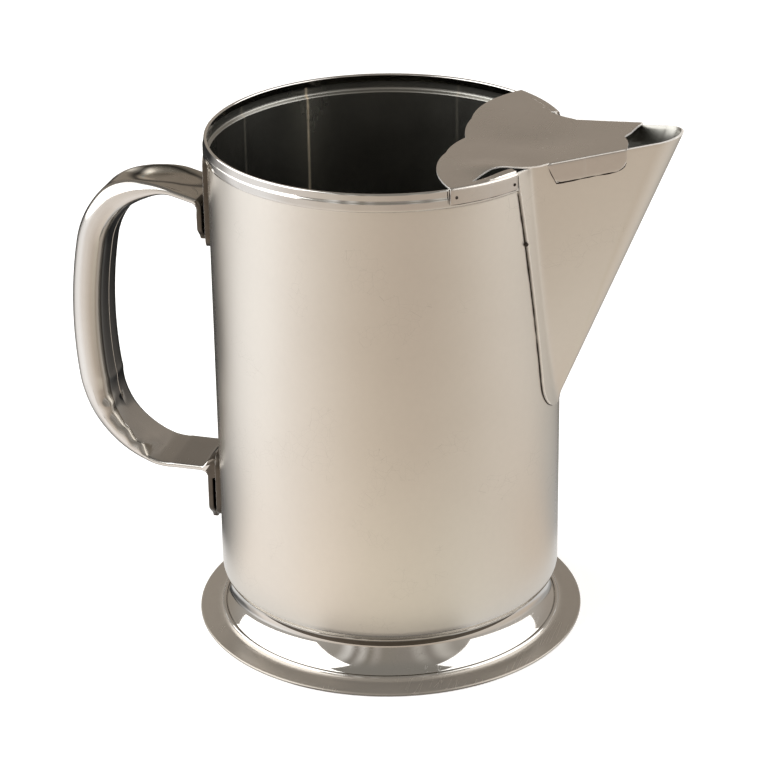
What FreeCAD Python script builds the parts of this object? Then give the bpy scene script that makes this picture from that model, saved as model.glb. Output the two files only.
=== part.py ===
import FreeCAD, Part

import math
import os

import Sketcher

# A two-litre water pitcher in stainless steel sheet, with a foot ring, a welded
# V spout, a strainer plate that holds the ice back, and a hollow handle.
#
# Frame: the origin is the centre of the foot's underside, +Z is up, and the
# spout points along +X, so the handle is on the -X side. Millimetres.

doc = FreeCAD.newDocument("water_pitcher")


# ---------------------------------------------------------------- dimensions

DIMENSIONS = {
    # sheet metal
    "sheet": 0.8,                    # vessel, spout and foot
    "guard_sheet": 0.6,
    "handle_sheet": 0.9,
    "clearance": 0.05,               # between faces that only touch
    # vessel
    "body_radius": 62.5,
    "body_bottom": 14.5,             # height of the vessel's flat underside
    "bottom_corner": 6.5,
    "rim_height": 187.0,
    "band_height": 6.8,              # the swaged band round the rim
    "band_swell": 1.25,
    "band_step": 0.8,
    "lip_height": 3.0,               # upper part of the band, which leans in
    "lip_lean": 0.45,
    "lip_width": 1.2,                # width of the rolled top edge
    # foot ring
    "foot_radius": 71.5,
    "foot_edge": 1.1,
    "foot_ridge_radius": 62.2,
    "foot_ridge_height": 3.2,
    "foot_ridge_width": 1.4,
    "foot_neck_radius": 55.5,
    "foot_cove_radius": 9.5,
    "foot_seat_radius": 49.0,
    # spout: a wedge with a round nose, given at two levels
    "spout_low": 91.0,
    "spout_high": 201.0,
    "nose_reach_low": 63.3,
    "nose_reach_high": 108.0,
    "nose_radius_low": 2.2,
    "nose_radius_high": 11.1,
    "half_angle_low": 54.3,
    "half_angle_high": 20.3,
    "wedge_back": 50.0,
    "lip_start": 60.0,               # where the top edge leaves the rim's level
    "lip_angle": 9.6,                # and climbs to the nose
    "flange_half_top": 31.2,
    "flange_taper": 9.6,             # degrees, each side
    "flange_bottom": 89.5,
    "flange_round": 15.8,
    # opening in the vessel's wall behind the spout
    "opening_half_top": 23.0,
    "opening_bottom": 104.0,
    "opening_half_bottom": 4.0,
    # ice guard
    "guard_cusp": 29.3,              # distance of the centre cusp from the axis
    "guard_lobe": 26.9,
    "guard_lobe_half": 18.0,
    "guard_lobe_round": 42.0,
    "rim_tab_outer": 54.4,           # azimuths, degrees
    "rim_tab_inner": 30.3,
    "rim_tab_drop": 5.1,
    "slot_outer": 46.0,
    "slot_inner": 29.0,
    "slot_inset": 1.5,
    "slot_round": 22.0,
    "shoulder_reach": 61.5,          # where the plate passes over the vessel's wall
    "shoulder_half": 24.6,
    "guard_front": 88.6,
    "guard_notch": 3.8,
    "guard_front_half": 13.9,
    "spout_tab_start": 64.0,
    "spout_tab_drop": 7.5,
    "spout_tab_round": 4.0,
    "spout_tab_rake": 1.5,
    # handle: centre line in the XZ plane, from the lower end to the upper end
    "grip_thick": 11.5,
    "grip_width": 22.4,
    "grip_round": 5.4,
    "lower_bend_x": -80.9,
    "lower_bend_z": 88.1,
    "lower_bend_radius": 31.0,
    "lower_bend_start": 112.0,       # headings, degrees from +X
    "grip_bow_start": 96.9,
    "grip_bow_radius": 169.7,
    "grip_bow_end": 79.1,
    "upper_bend_radius": 32.9,
    "upper_bend_end": 45.0,
    "tab_width": 25.0,
    "tab_thick": 2.0,
    "upper_tab_start": -76.0,
    "upper_tab_top": 161.9,
    "upper_tab_slope": 15.0,
    "upper_mid_x": -88.0,
    "upper_mid_z": 160.2,
    "upper_mid_thick": 6.6,
    "upper_mid_heading": 14.0,
    "pressed_round": 0.42,           # corner radius, as a share of the pressed thickness
    "lower_tab_start": -87.0,
    "lower_tab_top": 53.5,
    "lower_mid_x": -100.0,
    "lower_mid_z": 60.9,
    "lower_mid_thick": 7.0,
    "lower_mid_heading": 145.0,
    "fold_radius": 2.6,
    "upper_flange_end": 143.5,
    "lower_flange_end": 29.5,
    "flange_end_half": 8.0,
    "seam_gap": 0.35,
    # doubler pads between the handle's flanges and the vessel
    "pad_sheet": 2.2,
    "pad_width": 27.0,
    "pad_round": 5.0,
    "upper_pad_low": 141.0,
    "upper_pad_high": 177.0,
    "lower_pad_low": 31.0,
    "lower_pad_high": 58.0,
}

sheet = doc.addObject("Spreadsheet::Sheet", "dims")
for row, (alias, number) in enumerate(DIMENSIONS.items(), start=1):
    sheet.set("A%d" % row, alias.replace("_", " "))
    sheet.set("B%d" % row, str(number))
    sheet.setAlias("B%d" % row, alias)
doc.recompute()


class Size:
    """A length or factor: its value now, and the expression that keeps it tied to the sheet."""

    def __init__(self, value, text):
        self.value = value
        self.text = text

    @staticmethod
    def wrap(other):
        return other if isinstance(other, Size) else Size(float(other), "(%r)" % float(other))

    def __add__(self, other):
        other = Size.wrap(other)
        return Size(self.value + other.value, "(%s + %s)" % (self.text, other.text))

    def __sub__(self, other):
        other = Size.wrap(other)
        return Size(self.value - other.value, "(%s - %s)" % (self.text, other.text))

    def __mul__(self, other):
        other = Size.wrap(other)
        return Size(self.value * other.value, "(%s * %s)" % (self.text, other.text))

    def __truediv__(self, other):
        other = Size.wrap(other)
        return Size(self.value / other.value, "(%s / %s)" % (self.text, other.text))

    def __neg__(self):
        return Size(-self.value, "(0 - %s)" % self.text)


def size(alias):
    return Size(float(sheet.get(alias)), "dims.%s" % alias)


def sine(angle):
    return Size(math.sin(math.radians(angle.value)), "sin(%s * 1 deg)" % angle.text)


def cosine(angle):
    return Size(math.cos(math.radians(angle.value)), "cos(%s * 1 deg)" % angle.text)


def tangent(angle):
    return Size(math.tan(math.radians(angle.value)), "tan(%s * 1 deg)" % angle.text)


ZERO = Size(0.0, "0")
LEAST_CUT = 1.0  # cubic mm


# ------------------------------------------------------------ sketch helpers

def new_body(name):
    body = doc.addObject("PartDesign::Body", name)
    body.Label = name
    return body


def origin_plane(body, role):
    return next(item for item in body.Origin.OriginFeatures if item.Role == role)


def body_sketch(body, name, role, offset=None):
    """A sketch on one of the body's own origin planes, moved along the plane's normal."""
    sketch = body.newObject("Sketcher::SketchObject", name)
    sketch.AttachmentSupport = [(origin_plane(body, role), "")]
    sketch.MapMode = "FlatFace"
    if offset is not None:
        sketch.setExpression("AttachmentOffset.Base.z", offset.text)
    return sketch


def free_sketch(name, height=None):
    """A sketch parallel to the XY plane, for the Part workbench."""
    sketch = doc.addObject("Sketcher::SketchObject", name)
    if height is not None:
        sketch.Placement.Base.z = height.value
        sketch.setExpression("Placement.Base.z", height.text)
    return sketch


def bind(sketch, kind, references, length):
    """Add a dimension and tie it to its expression."""
    index = sketch.addConstraint(Sketcher.Constraint(kind, *references, length.value))
    sketch.setExpression("Constraints[%d]" % index, length.text)


def arc_between(start, end, radius):
    """The shorter arc from start to end; a positive radius turns left, a negative one right."""
    chord = end - start
    half = chord.Length / 2
    rise = math.sqrt(max(radius * radius - half * half, 0.0))
    left = FreeCAD.Vector(-chord.y, chord.x, 0).normalize()
    side = 1 if radius > 0 else -1
    centre = (start + end) / 2 + left * (rise * side)
    angles = [math.atan2(point.y - centre.y, point.x - centre.x) for point in (start, end)]
    if side < 0:
        angles.reverse()
    circle = Part.Circle(centre, FreeCAD.Vector(0, 0, 1), abs(radius))
    return Part.ArcOfCircle(circle, angles[0], angles[1])


def outline(sketch, corners, closed=True):
    """Edges through the corners. Each corner is (x, y), or (x, y, radius) when an arc leads to it."""
    points = [FreeCAD.Vector(corner[0].value, corner[1].value, 0) for corner in corners]
    edges = []
    for number, corner in enumerate(corners):
        if number == 0 and not closed:
            continue
        start = points[number - 1]
        end = points[number]
        if len(corner) == 3:
            index = sketch.addGeometry(arc_between(start, end, corner[2].value))
            first, last = (1, 2) if corner[2].value > 0 else (2, 1)
            length = corner[2] if corner[2].value > 0 else -corner[2]
            bind(sketch, "Radius", (index,), length)
        else:
            index = sketch.addGeometry(Part.LineSegment(start, end))
            first, last = (1, 2)
        bind(sketch, "DistanceX", (-1, 1, index, last), corner[0])
        bind(sketch, "DistanceY", (-1, 1, index, last), corner[1])
        edges.append((index, first, last))
    for number, (index, first, last) in enumerate(edges):
        if number == 0 and not closed:
            bind(sketch, "DistanceX", (-1, 1, index, first), corners[0][0])
            bind(sketch, "DistanceY", (-1, 1, index, first), corners[0][1])
            continue
        before = edges[number - 1]
        sketch.addConstraint(Sketcher.Constraint("Coincident", before[0], before[2], index, first))


def circle(sketch, radius):
    """A circle about the sketch's origin."""
    axis = FreeCAD.Vector(0, 0, 1)
    index = sketch.addGeometry(Part.Circle(FreeCAD.Vector(0, 0, 0), axis, radius.value))
    sketch.addConstraint(Sketcher.Constraint("Coincident", index, 3, -1, 1))
    bind(sketch, "Radius", (index,), radius)


def revolve(body, sketch, name):
    feature = body.newObject("PartDesign::Revolution", name)
    feature.Profile = sketch
    feature.ReferenceAxis = (sketch, ["V_Axis"])
    feature.Angle = 360
    return feature


def pad(body, sketch, name, length, midplane=False, reverse=False):
    feature = body.newObject("PartDesign::Pad", name)
    feature.Profile = sketch
    feature.setExpression("Length", length.text)
    feature.SideType = "Symmetric" if midplane else "One side"
    feature.Reversed = reverse
    return feature


def volume(body):
    doc.recompute()
    return body.Shape.Volume


def check_cut(body, feature, before):
    """A cut that points away from the metal shows no error, so the volume is compared."""
    if volume(body) > before - LEAST_CUT:
        raise RuntimeError("%s cuts nothing" % feature.Name)
    return feature


def pocket(body, sketch, name, reverse=False, midplane=False):
    """A cut through everything."""
    before = volume(body)
    feature = body.newObject("PartDesign::Pocket", name)
    feature.Profile = sketch
    feature.Type = 1
    feature.SideType = "Symmetric" if midplane else "One side"
    feature.Reversed = reverse
    return check_cut(body, feature, before)


# --------------------------------------------------------------- vessel body

def make_vessel_body():
    """The deep-drawn cup: rounded bottom corner, straight wall, swaged band and rolled lip."""
    body = new_body("vessel_body")
    thick = size("sheet")
    radius = size("body_radius")
    low = size("body_bottom")
    corner = size("bottom_corner")
    top = size("rim_height")
    band = top - size("band_height")
    lip = top - size("lip_height")
    swollen = radius + size("band_swell")
    lip_outer = swollen - size("lip_lean")
    profile = body_sketch(body, "vessel_profile", "XZ_Plane")
    outline(profile, [
        (ZERO, low),
        (radius - corner, low),
        (radius, low + corner, corner),
        (radius, band),
        (swollen, band + size("band_step")),
        (swollen, lip),
        (lip_outer, top),
        (lip_outer - size("lip_width"), top),
        (swollen - thick, lip),
        (swollen - thick, band + size("band_step")),
        (radius - thick, band),
        (radius - thick, low + corner),
        (radius - corner, low + thick, -(corner - thick)),
        (ZERO, low + thick),
    ])
    revolve(body, profile, "vessel_wall")
    opening = body_sketch(body, "spout_opening_outline", "YZ_Plane")
    above = size("spout_high")
    half_top = size("opening_half_top")
    half_low = size("opening_half_bottom")
    half_flange = size("flange_half_top") + size("clearance")
    outline(opening, [
        (-half_low, size("opening_bottom")),
        (half_low, size("opening_bottom")),
        (half_top, band),
        (half_flange, band),
        (half_flange, above),
        (-half_flange, above),
        (-half_flange, band),
        (-half_top, band),
    ])
    pocket(body, opening, "spout_opening", reverse=True)
    return body


# ----------------------------------------------------------------- foot ring

def make_foot_ring():
    """The pressed pedestal: a flat flange, a small ridge, and a cove up to the seat."""
    body = new_body("foot_ring")
    thick = size("sheet")
    outer = size("foot_radius")
    edge = size("foot_edge")
    ridge = size("foot_ridge_radius")
    ridge_top = size("foot_ridge_height")
    half = size("foot_ridge_width") / 2
    neck = size("foot_neck_radius")
    seat = size("body_bottom") - size("clearance")
    inner = size("foot_seat_radius")
    profile = body_sketch(body, "foot_profile", "XZ_Plane")
    cove = size("foot_cove_radius")
    outline(profile, [
        (inner, seat),
        (inner, seat - thick),
        (neck - thick * 2, seat - thick),
        (neck - thick, seat - thick * 2),
        (ridge - half - thick, ridge_top - thick, cove + thick),
        (ridge - thick, ZERO),
        (outer, ZERO),
        (outer, edge),
        (ridge + half * 2, edge + half),
        (ridge + half, ridge_top - half / 2),
        (ridge, ridge_top),
        (ridge - half, ridge_top),
        (neck, seat - thick, -cove),
        (neck - thick, seat),
    ])
    revolve(body, profile, "foot_wall")
    return body


# --------------------------------------------------------------------- spout

def wedge_section(name, level, grow):
    """The spout's plan at one level: two straight sides tangent to a round nose."""
    reach = size("nose_reach_" + level)
    radius = size("nose_radius_" + level)
    angle = size("half_angle_" + level)
    back = size("wedge_back")
    centre = reach - radius
    grown = radius + grow
    touch_x = centre + grown * sine(angle)
    touch_y = grown * cosine(angle)
    back_y = touch_y + (touch_x - back) * tangent(angle)
    section = free_sketch(name, size("spout_" + level))
    outline(section, [
        (back, -back_y),
        (touch_x, -touch_y),
        (touch_x, touch_y, grown),
        (back, back_y),
    ])
    return section


def wedge(name, grow):
    """The solid inside the spout's surface, made larger or smaller by grow."""
    loft = doc.addObject("Part::Loft", name)
    loft.Sections = [wedge_section(name + "_low", "low", grow), wedge_section(name + "_high", "high", grow)]
    loft.Solid = True
    loft.Ruled = True
    return loft


def drum(name, radius, low, high):
    cylinder = doc.addObject("Part::Cylinder", name)
    cylinder.setExpression("Radius", radius.text)
    cylinder.setExpression("Height", (high - low).text)
    cylinder.setExpression("Placement.Base.z", low.text)
    return cylinder


def extrusion(name, sketch, length, direction=(0, 0, 1), symmetric=False):
    solid = doc.addObject("Part::Extrusion", name)
    solid.Base = sketch
    solid.DirMode = "Custom"
    solid.Dir = FreeCAD.Vector(*direction)
    solid.Solid = True
    solid.Symmetric = symmetric
    solid.setExpression("LengthFwd", length.text)
    return solid


def boolean(kind, name, base, tool):
    result = doc.addObject("Part::" + kind, name)
    result.Base = base
    result.Tool = tool
    return result


def side_sketch(name):
    """A sketch in the XZ plane, for the Part workbench."""
    sketch = doc.addObject("Sketcher::SketchObject", name)
    sketch.Placement = FreeCAD.Placement(FreeCAD.Vector(), FreeCAD.Rotation(FreeCAD.Vector(1, 0, 0), 90))
    return sketch


def front_sketch(name):
    """A sketch in the YZ plane, for the Part workbench."""
    sketch = doc.addObject("Sketcher::SketchObject", name)
    sketch.Placement = FreeCAD.Placement(FreeCAD.Vector(), FreeCAD.Rotation(0.5, 0.5, 0.5, 0.5))
    return sketch


def lip_rise(reach):
    """Height of the spout's top edge at a distance from the vessel's axis."""
    return size("rim_height") + (reach - size("lip_start")) * tangent(size("lip_angle"))


def make_spout():
    """The folded wedge with its tongue-shaped flange, welded to the outside of the vessel."""
    clear = size("clearance")
    thick = size("sheet")
    high = size("spout_high")
    top = size("rim_height")
    outside = wedge("spout_outside", ZERO)
    inside = wedge("spout_inside", -thick)
    bore = drum("spout_bore", size("body_radius") + clear, ZERO, high)
    skin = boolean("Cut", "spout_skin", outside, inside)
    nose = boolean("Cut", "spout_nose", skin, bore)

    tongue = front_sketch("flange_outline")
    taper = size("flange_taper")
    round_end = size("flange_round")
    centre = size("flange_bottom") + round_end
    touch_y = round_end * cosine(taper)
    touch_z = centre - round_end * sine(taper)
    half_top = size("flange_half_top")
    outline(tongue, [
        (touch_y, touch_z, round_end),
        (half_top, top),
        (-half_top, top),
        (-touch_y, touch_z),
        (ZERO, size("flange_bottom"), round_end),
    ])
    tongue_block = extrusion("flange_block", tongue, size("nose_reach_high"), (1, 0, 0))
    face = drum("flange_face", size("body_radius") + clear + thick, ZERO, high)
    shell = boolean("Cut", "flange_shell", face, bore)
    tongue_shell = boolean("Common", "flange_tongue", shell, tongue_block)
    flange = boolean("Cut", "spout_flange", tongue_shell, inside)
    joined = boolean("Fuse", "spout_joined", nose, flange)

    above = side_sketch("above_lip")
    back = ZERO
    ahead = size("nose_reach_high") + thick
    outline(above, [
        (size("lip_start"), top),
        (ahead, lip_rise(ahead)),
        (ahead, high + thick),
        (back, high + thick),
        (back, top),
    ])
    lid = extrusion("above_lip_block", above, size("body_radius") * 2, (0, 1, 0), symmetric=True)
    return boolean("Cut", "spout", joined, lid)


# ----------------------------------------------------------------- ice guard

def polar(radius, angle):
    return radius * cosine(angle), radius * sine(angle)


def make_ice_guard():
    """The strainer plate: flat over the vessel, climbing with the spout, with four tabs folded down."""
    clear = size("clearance")
    thick = size("guard_sheet")
    top = size("rim_height") + clear
    tab_in = size("body_radius") + size("band_swell") + clear
    tab_out = tab_in + thick
    front = size("guard_front")
    high = size("spout_high")

    # the plate over the vessel, with a slot beside each rim tab
    plan = free_sketch("guard_plan", top)
    slot_edge = size("body_radius") - size("lip_width")
    slot_round = size("slot_round")
    lobe_round = size("guard_lobe_round")
    lobe_x, lobe_y = size("guard_lobe"), size("guard_lobe_half")
    corner_x, corner_y = polar(tab_out, size("rim_tab_outer"))
    end_x, end_y = polar(tab_out, size("rim_tab_inner"))
    strip_x, strip_y = polar(slot_edge, size("rim_tab_inner"))
    slot_x, slot_y = polar(slot_edge, size("slot_outer"))
    heel_x, heel_y = polar(slot_edge - size("slot_inset"), size("slot_inner"))
    shoulder_x, shoulder_y = size("shoulder_reach"), size("shoulder_half")
    outline(plan, [
        (size("guard_cusp"), ZERO, -lobe_round),
        (lobe_x, lobe_y, -lobe_round),
        (corner_x, corner_y, -lobe_round),
        (end_x, end_y, -tab_out),
        (strip_x, strip_y),
        (slot_x, slot_y, slot_edge),
        (heel_x, heel_y, slot_round),
        (shoulder_x, shoulder_y),
        (shoulder_x, -shoulder_y),
        (heel_x, -heel_y),
        (slot_x, -slot_y, slot_round),
        (strip_x, -strip_y, slot_edge),
        (end_x, -end_y),
        (corner_x, -corner_y, -tab_out),
        (lobe_x, -lobe_y, -lobe_round),
    ])
    plate = extrusion("guard_plate", plan, thick)

    # the tabs folded down over the rim's band
    tab_plan = free_sketch("rim_tab_plan", top - size("rim_tab_drop"))
    near_x, near_y = polar(tab_in, size("rim_tab_inner"))
    far_x, far_y = polar(tab_in, size("rim_tab_outer"))
    outline(tab_plan, [
        (near_x, near_y, -tab_in),
        (end_x, end_y),
        (corner_x, corner_y, tab_out),
        (far_x, far_y),
    ])
    rim_tab = extrusion("rim_tab", tab_plan, size("rim_tab_drop") + thick)
    rim_tab_twin = doc.addObject("Part::Mirroring", "rim_tab_twin")
    rim_tab_twin.Source = rim_tab
    rim_tab_twin.Normal = FreeCAD.Vector(0, 1, 0)

    # the plate over the spout, which climbs with the spout's edge
    climb = side_sketch("guard_climb")
    start = size("lip_start")
    flat = start - thick * 4
    ahead = front + thick * 4
    rise = lip_rise(ahead) + clear
    outline(climb, [
        (flat, top),
        (start, top),
        (ahead, rise),
        (ahead, rise + thick),
        (start, top + thick),
        (flat, top + thick),
    ])
    climb_strip = extrusion("guard_climb_strip", climb, size("body_radius"), (0, 1, 0), symmetric=True)
    outer_wedge = wedge("guard_outside", clear + thick)
    inner_wedge = wedge("guard_inside", clear)
    ramp = boolean("Common", "guard_ramp", climb_strip, outer_wedge)

    # the tabs folded down over the spout's sides
    side = side_sketch("spout_tab_side")
    drop = size("spout_tab_drop")
    rounded = size("spout_tab_round")
    first = size("spout_tab_start")
    foot = first + size("spout_tab_rake")
    outline(side, [
        (foot, lip_rise(foot) - drop),
        (front - rounded, lip_rise(front - rounded) - drop),
        (front, lip_rise(front) - drop + rounded, rounded),
        (front, lip_rise(front) + clear + thick / 2),
        (first, lip_rise(first) + clear + thick / 2),
    ])
    side_block = extrusion("spout_tab_block", side, size("body_radius"), (0, 1, 0), symmetric=True)
    skin = boolean("Cut", "guard_skin", outer_wedge, inner_wedge)
    spout_tabs = boolean("Common", "spout_tabs", skin, side_block)

    joined = doc.addObject("Part::MultiFuse", "guard_joined")
    joined.Shapes = [plate, rim_tab, rim_tab_twin, ramp, spout_tabs]

    # the front edge, notched in the middle
    notch_plan = free_sketch("guard_notch_plan", top - size("rim_tab_drop"))
    half_front = size("guard_front_half")
    beyond = ahead + thick
    outline(notch_plan, [
        (front - size("guard_notch"), ZERO),
        (front, -half_front),
        (beyond, -half_front),
        (beyond, half_front),
        (front, half_front),
    ])
    notch = extrusion("guard_notch_block", notch_plan, high)
    return boolean("Cut", "ice_guard", joined, notch)


# -------------------------------------------------------------------- handle

def on_bend(centre_x, centre_z, radius, heading):
    """The point of a clockwise bend where the centre line runs at this heading."""
    return centre_x - radius * sine(heading), centre_z + radius * cosine(heading)


def bend_centre(point_x, point_z, radius, heading):
    return point_x + radius * sine(heading), point_z - radius * cosine(heading)


def grip_stations():
    """Where the grip's three bends start and end, as (x, z, heading)."""
    centre_x, centre_z = size("lower_bend_x"), size("lower_bend_z")
    stations = []
    heading = size("lower_bend_start")
    point = on_bend(centre_x, centre_z, size("lower_bend_radius"), heading)
    stations.append(point + (heading,))
    heading = size("grip_bow_start")
    point = on_bend(centre_x, centre_z, size("lower_bend_radius"), heading)
    stations.append(point + (heading,))
    for radius, end in (("grip_bow_radius", "grip_bow_end"), ("upper_bend_radius", "upper_bend_end")):
        centre_x, centre_z = bend_centre(point[0], point[1], size(radius), heading)
        heading = size(end)
        point = on_bend(centre_x, centre_z, size(radius), heading)
        stations.append(point + (heading,))
    return stations


def section_sketch(body, name, station):
    """A sketch square to the centre line: its x is the handle's width, its y points outward."""
    x, z, heading = station
    sketch = body.newObject("Sketcher::SketchObject", name)
    sketch.AttachmentSupport = [(origin_plane(body, "YZ_Plane"), "")]
    sketch.MapMode = "FlatFace"
    turn = FreeCAD.Rotation(FreeCAD.Vector(-1, 0, 0), heading.value)
    sketch.AttachmentOffset = FreeCAD.Placement(FreeCAD.Vector(0, z.value, x.value), turn)
    sketch.setExpression("AttachmentOffset.Base.y", z.text)
    sketch.setExpression("AttachmentOffset.Base.z", x.text)
    sketch.setExpression("AttachmentOffset.Rotation.Angle", "%s * 1 deg" % heading.text)
    return sketch


def rounded_section(sketch, width, thick, round_corner):
    half_w = width / 2
    half_t = thick / 2
    outline(sketch, [
        (half_w, round_corner - half_t, round_corner),
        (half_w, half_t - round_corner),
        (half_w - round_corner, half_t, round_corner),
        (round_corner - half_w, half_t),
        (-half_w, half_t - round_corner, round_corner),
        (-half_w, round_corner - half_t),
        (round_corner - half_w, -half_t, round_corner),
        (half_w - round_corner, -half_t),
    ])
    return sketch


def tab_strip(sketch, run_out, top_out, slope, end_z):
    """Side view of a pressed-flat tab that runs to the vessel and folds down against it."""
    thick = size("tab_thick")
    face = -(size("body_radius") + size("clearance") * 2 + size("pad_sheet"))
    fold = size("fold_radius")
    fall = tangent(slope)
    inside = face - thick
    outer_fold = fold + thick
    top_fold_z = top_out - (face - outer_fold - run_out) * fall
    low_fold_z = top_out - thick - (inside - fold - run_out) * fall
    outline(sketch, [
        (run_out, top_out - thick),
        (inside - fold, low_fold_z),
        (inside, low_fold_z - fold, -fold),
        (inside, end_z),
        (face, end_z),
        (face, top_fold_z - outer_fold),
        (face - outer_fold, top_fold_z, outer_fold),
        (run_out, top_out),
    ])


def trim_flange(body, name, end_z, start_z):
    """Taper a flange's lower corners, so that it ends as a tongue."""
    corners = body_sketch(body, name + "_corners", "YZ_Plane")
    half = size("tab_width") / 2
    half_end = size("flange_end_half")
    past = size("sheet")
    for side in (ZERO + 1, ZERO - 1):
        outline(corners, [
            ((half + past) * side, start_z + past),
            (half_end * side, end_z - past),
            ((half + past) * side, end_z - past),
        ])
    before = volume(body)
    cut = body.newObject("PartDesign::Pocket", name + "_taper")
    cut.Profile = corners
    cut.setExpression("Length", (size("body_radius") + size("tab_thick") * 4).text)
    check_cut(body, cut, before)


def make_handle():
    """A hollow grip of folded sheet; its ends are pressed flat, folded down and welded on."""
    body = new_body("handle")
    wall = size("handle_sheet")
    width, thick, corner = size("grip_width"), size("grip_thick"), size("grip_round")
    stations = grip_stations()
    spine = body_sketch(body, "grip_centre_line", "XZ_Plane")
    radii = [size("lower_bend_radius"), size("grip_bow_radius"), size("upper_bend_radius")]
    outline(spine, [stations[0][:2]] + [
        station[:2] + (-radius,) for station, radius in zip(stations[1:], radii)
    ], closed=False)

    def pipe(kind, name, section):
        feature = body.newObject("PartDesign::" + kind, name)
        feature.Profile = section
        feature.Spine = (spine, ["Edge1", "Edge2", "Edge3"])
        return feature

    def loft(kind, name, sections):
        feature = body.newObject("PartDesign::" + kind, name)
        feature.Profile = sections[0]
        feature.Sections = sections[1:]
        return feature

    grip = rounded_section(section_sketch(body, "grip_section", stations[0]), width, thick, corner)
    pipe("AdditivePipe", "grip", grip)

    # the ends, pressed from the grip's section down to the flat tabs
    tab_round = size("tab_thick") / 4
    half_tab = size("tab_thick") / 2
    flat_low = (size("lower_tab_start"), size("lower_tab_top") - half_tab, ZERO + 180)
    flat_high = (size("upper_tab_start"), size("upper_tab_top") - half_tab, -size("upper_tab_slope"))
    for end, station, flat in (("lower", stations[0], flat_low), ("upper", stations[-1], flat_high)):
        middle = (size(end + "_mid_x"), size(end + "_mid_z"), size(end + "_mid_heading"))
        middle_thick = size(end + "_mid_thick")
        full = section_sketch(body, end + "_grip_end", station)
        rounded_section(full, width, thick, corner)
        pressed = section_sketch(body, end + "_pressed", middle)
        middle_width = (width + size("tab_width")) / 2
        rounded_section(pressed, middle_width, middle_thick, middle_thick * size("pressed_round"))
        tab = section_sketch(body, end + "_tab_start", flat)
        rounded_section(tab, size("tab_width"), size("tab_thick"), tab_round)
        loft("AdditiveLoft", end + "_transition", [full, pressed, tab])

    lower_strip = body_sketch(body, "lower_tab_side", "XZ_Plane")
    tab_strip(lower_strip, size("lower_tab_start"), size("lower_tab_top"), ZERO, size("lower_flange_end"))
    pad(body, lower_strip, "lower_tab", size("tab_width"), midplane=True)
    upper_strip = body_sketch(body, "upper_tab_side", "XZ_Plane")
    tab_strip(upper_strip, size("upper_tab_start"), size("upper_tab_top"), size("upper_tab_slope"),
              size("upper_flange_end"))
    pad(body, upper_strip, "upper_tab", size("tab_width"), midplane=True)
    lower_end, upper_end = size("lower_flange_end"), size("upper_flange_end")
    trim_flange(body, "lower_flange", lower_end, size("lower_tab_top") - size("fold_radius") * 2)
    trim_flange(body, "upper_flange", upper_end, upper_end + size("grip_round"))

    # the hollow inside the folded sheet, and the open seam along its inner face
    inner_round = corner - wall
    hollow = rounded_section(section_sketch(body, "hollow_section", stations[0]),
                             width - wall * 2, thick - wall * 2, inner_round)
    pipe("SubtractivePipe", "grip_hollow", hollow)
    for end, station in (("lower", stations[0]), ("upper", stations[-1])):
        middle = (size(end + "_mid_x"), size(end + "_mid_z"), size(end + "_mid_heading"))
        middle_thick = size(end + "_mid_thick") - wall * 2
        full = section_sketch(body, end + "_hollow_start", station)
        rounded_section(full, width - wall * 2, thick - wall * 2, inner_round)
        pressed = section_sketch(body, end + "_hollow_end", middle)
        middle_width = (width + size("tab_width")) / 2 - wall * 2
        rounded_section(pressed, middle_width, middle_thick, middle_thick * size("pressed_round"))
        loft("SubtractiveLoft", end + "_hollow", [full, pressed])
    seam = section_sketch(body, "seam_section", stations[0])
    half_gap = size("seam_gap") / 2
    outline(seam, [
        (half_gap, -(thick / 2 + wall)),
        (half_gap, -(thick / 2 - wall * 1.5)),
        (-half_gap, -(thick / 2 - wall * 1.5)),
        (-half_gap, -(thick / 2 + wall)),
    ])
    pipe("SubtractivePipe", "grip_seam", seam)
    return body


# ---------------------------------------------------------------------- pads

def make_pad(name, low, high):
    """A thin doubler, curved to the vessel, that spreads the handle's pull."""
    body = new_body(name)
    half = size("pad_width") / 2
    corner = size("pad_round")
    face = body_sketch(body, name + "_outline", "YZ_Plane")
    outline(face, [
        (half, low + corner, corner),
        (half, high - corner),
        (half - corner, high, corner),
        (corner - half, high),
        (-half, high - corner, corner),
        (-half, low + corner),
        (corner - half, low, corner),
        (half - corner, low),
    ])
    inner = size("body_radius") + size("clearance")
    outer = inner + size("pad_sheet")
    pad(body, face, name + "_blank", outer + size("pad_sheet"), reverse=True)
    inside = body_sketch(body, name + "_inside", "XY_Plane")
    circle(inside, inner)
    pocket(body, inside, name + "_hollow", midplane=True)
    outside = body_sketch(body, name + "_outside", "XY_Plane")
    circle(outside, outer)
    circle(outside, outer * 2)
    pocket(body, outside, name + "_curve", midplane=True)
    return body


# --------------------------------------------------------------------- build

SUBPARTS = [
    make_vessel_body(),
    make_foot_ring(),
    make_spout(),
    make_ice_guard(),
    make_handle(),
    make_pad("upper_handle_pad", size("upper_pad_low"), size("upper_pad_high")),
    make_pad("lower_handle_pad", size("lower_pad_low"), size("lower_pad_high")),
]
doc.recompute()

for item in doc.Objects:
    if "Invalid" in item.State or "Error" in item.State:
        raise RuntimeError("%s failed: %s" % (item.Label, item.State))

os.makedirs("parts", exist_ok=True)
for subpart in SUBPARTS:
    shape = subpart.Shape
    if shape.isNull() or not shape.isValid():
        raise RuntimeError("%s has no valid shape" % subpart.Label)
    shape.exportStep("parts/%s.step" % subpart.Label)
    print("%-20s solids %d  volume %.1f" % (subpart.Label, len(shape.Solids), shape.Volume))
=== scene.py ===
"""A stainless steel water pitcher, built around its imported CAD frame."""

from math import asin, atan2, cos, degrees, dist, exp, hypot, pi, radians, sin, sqrt, tan

import bmesh
import bpy
from mathutils import Matrix, Vector, noise


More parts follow.
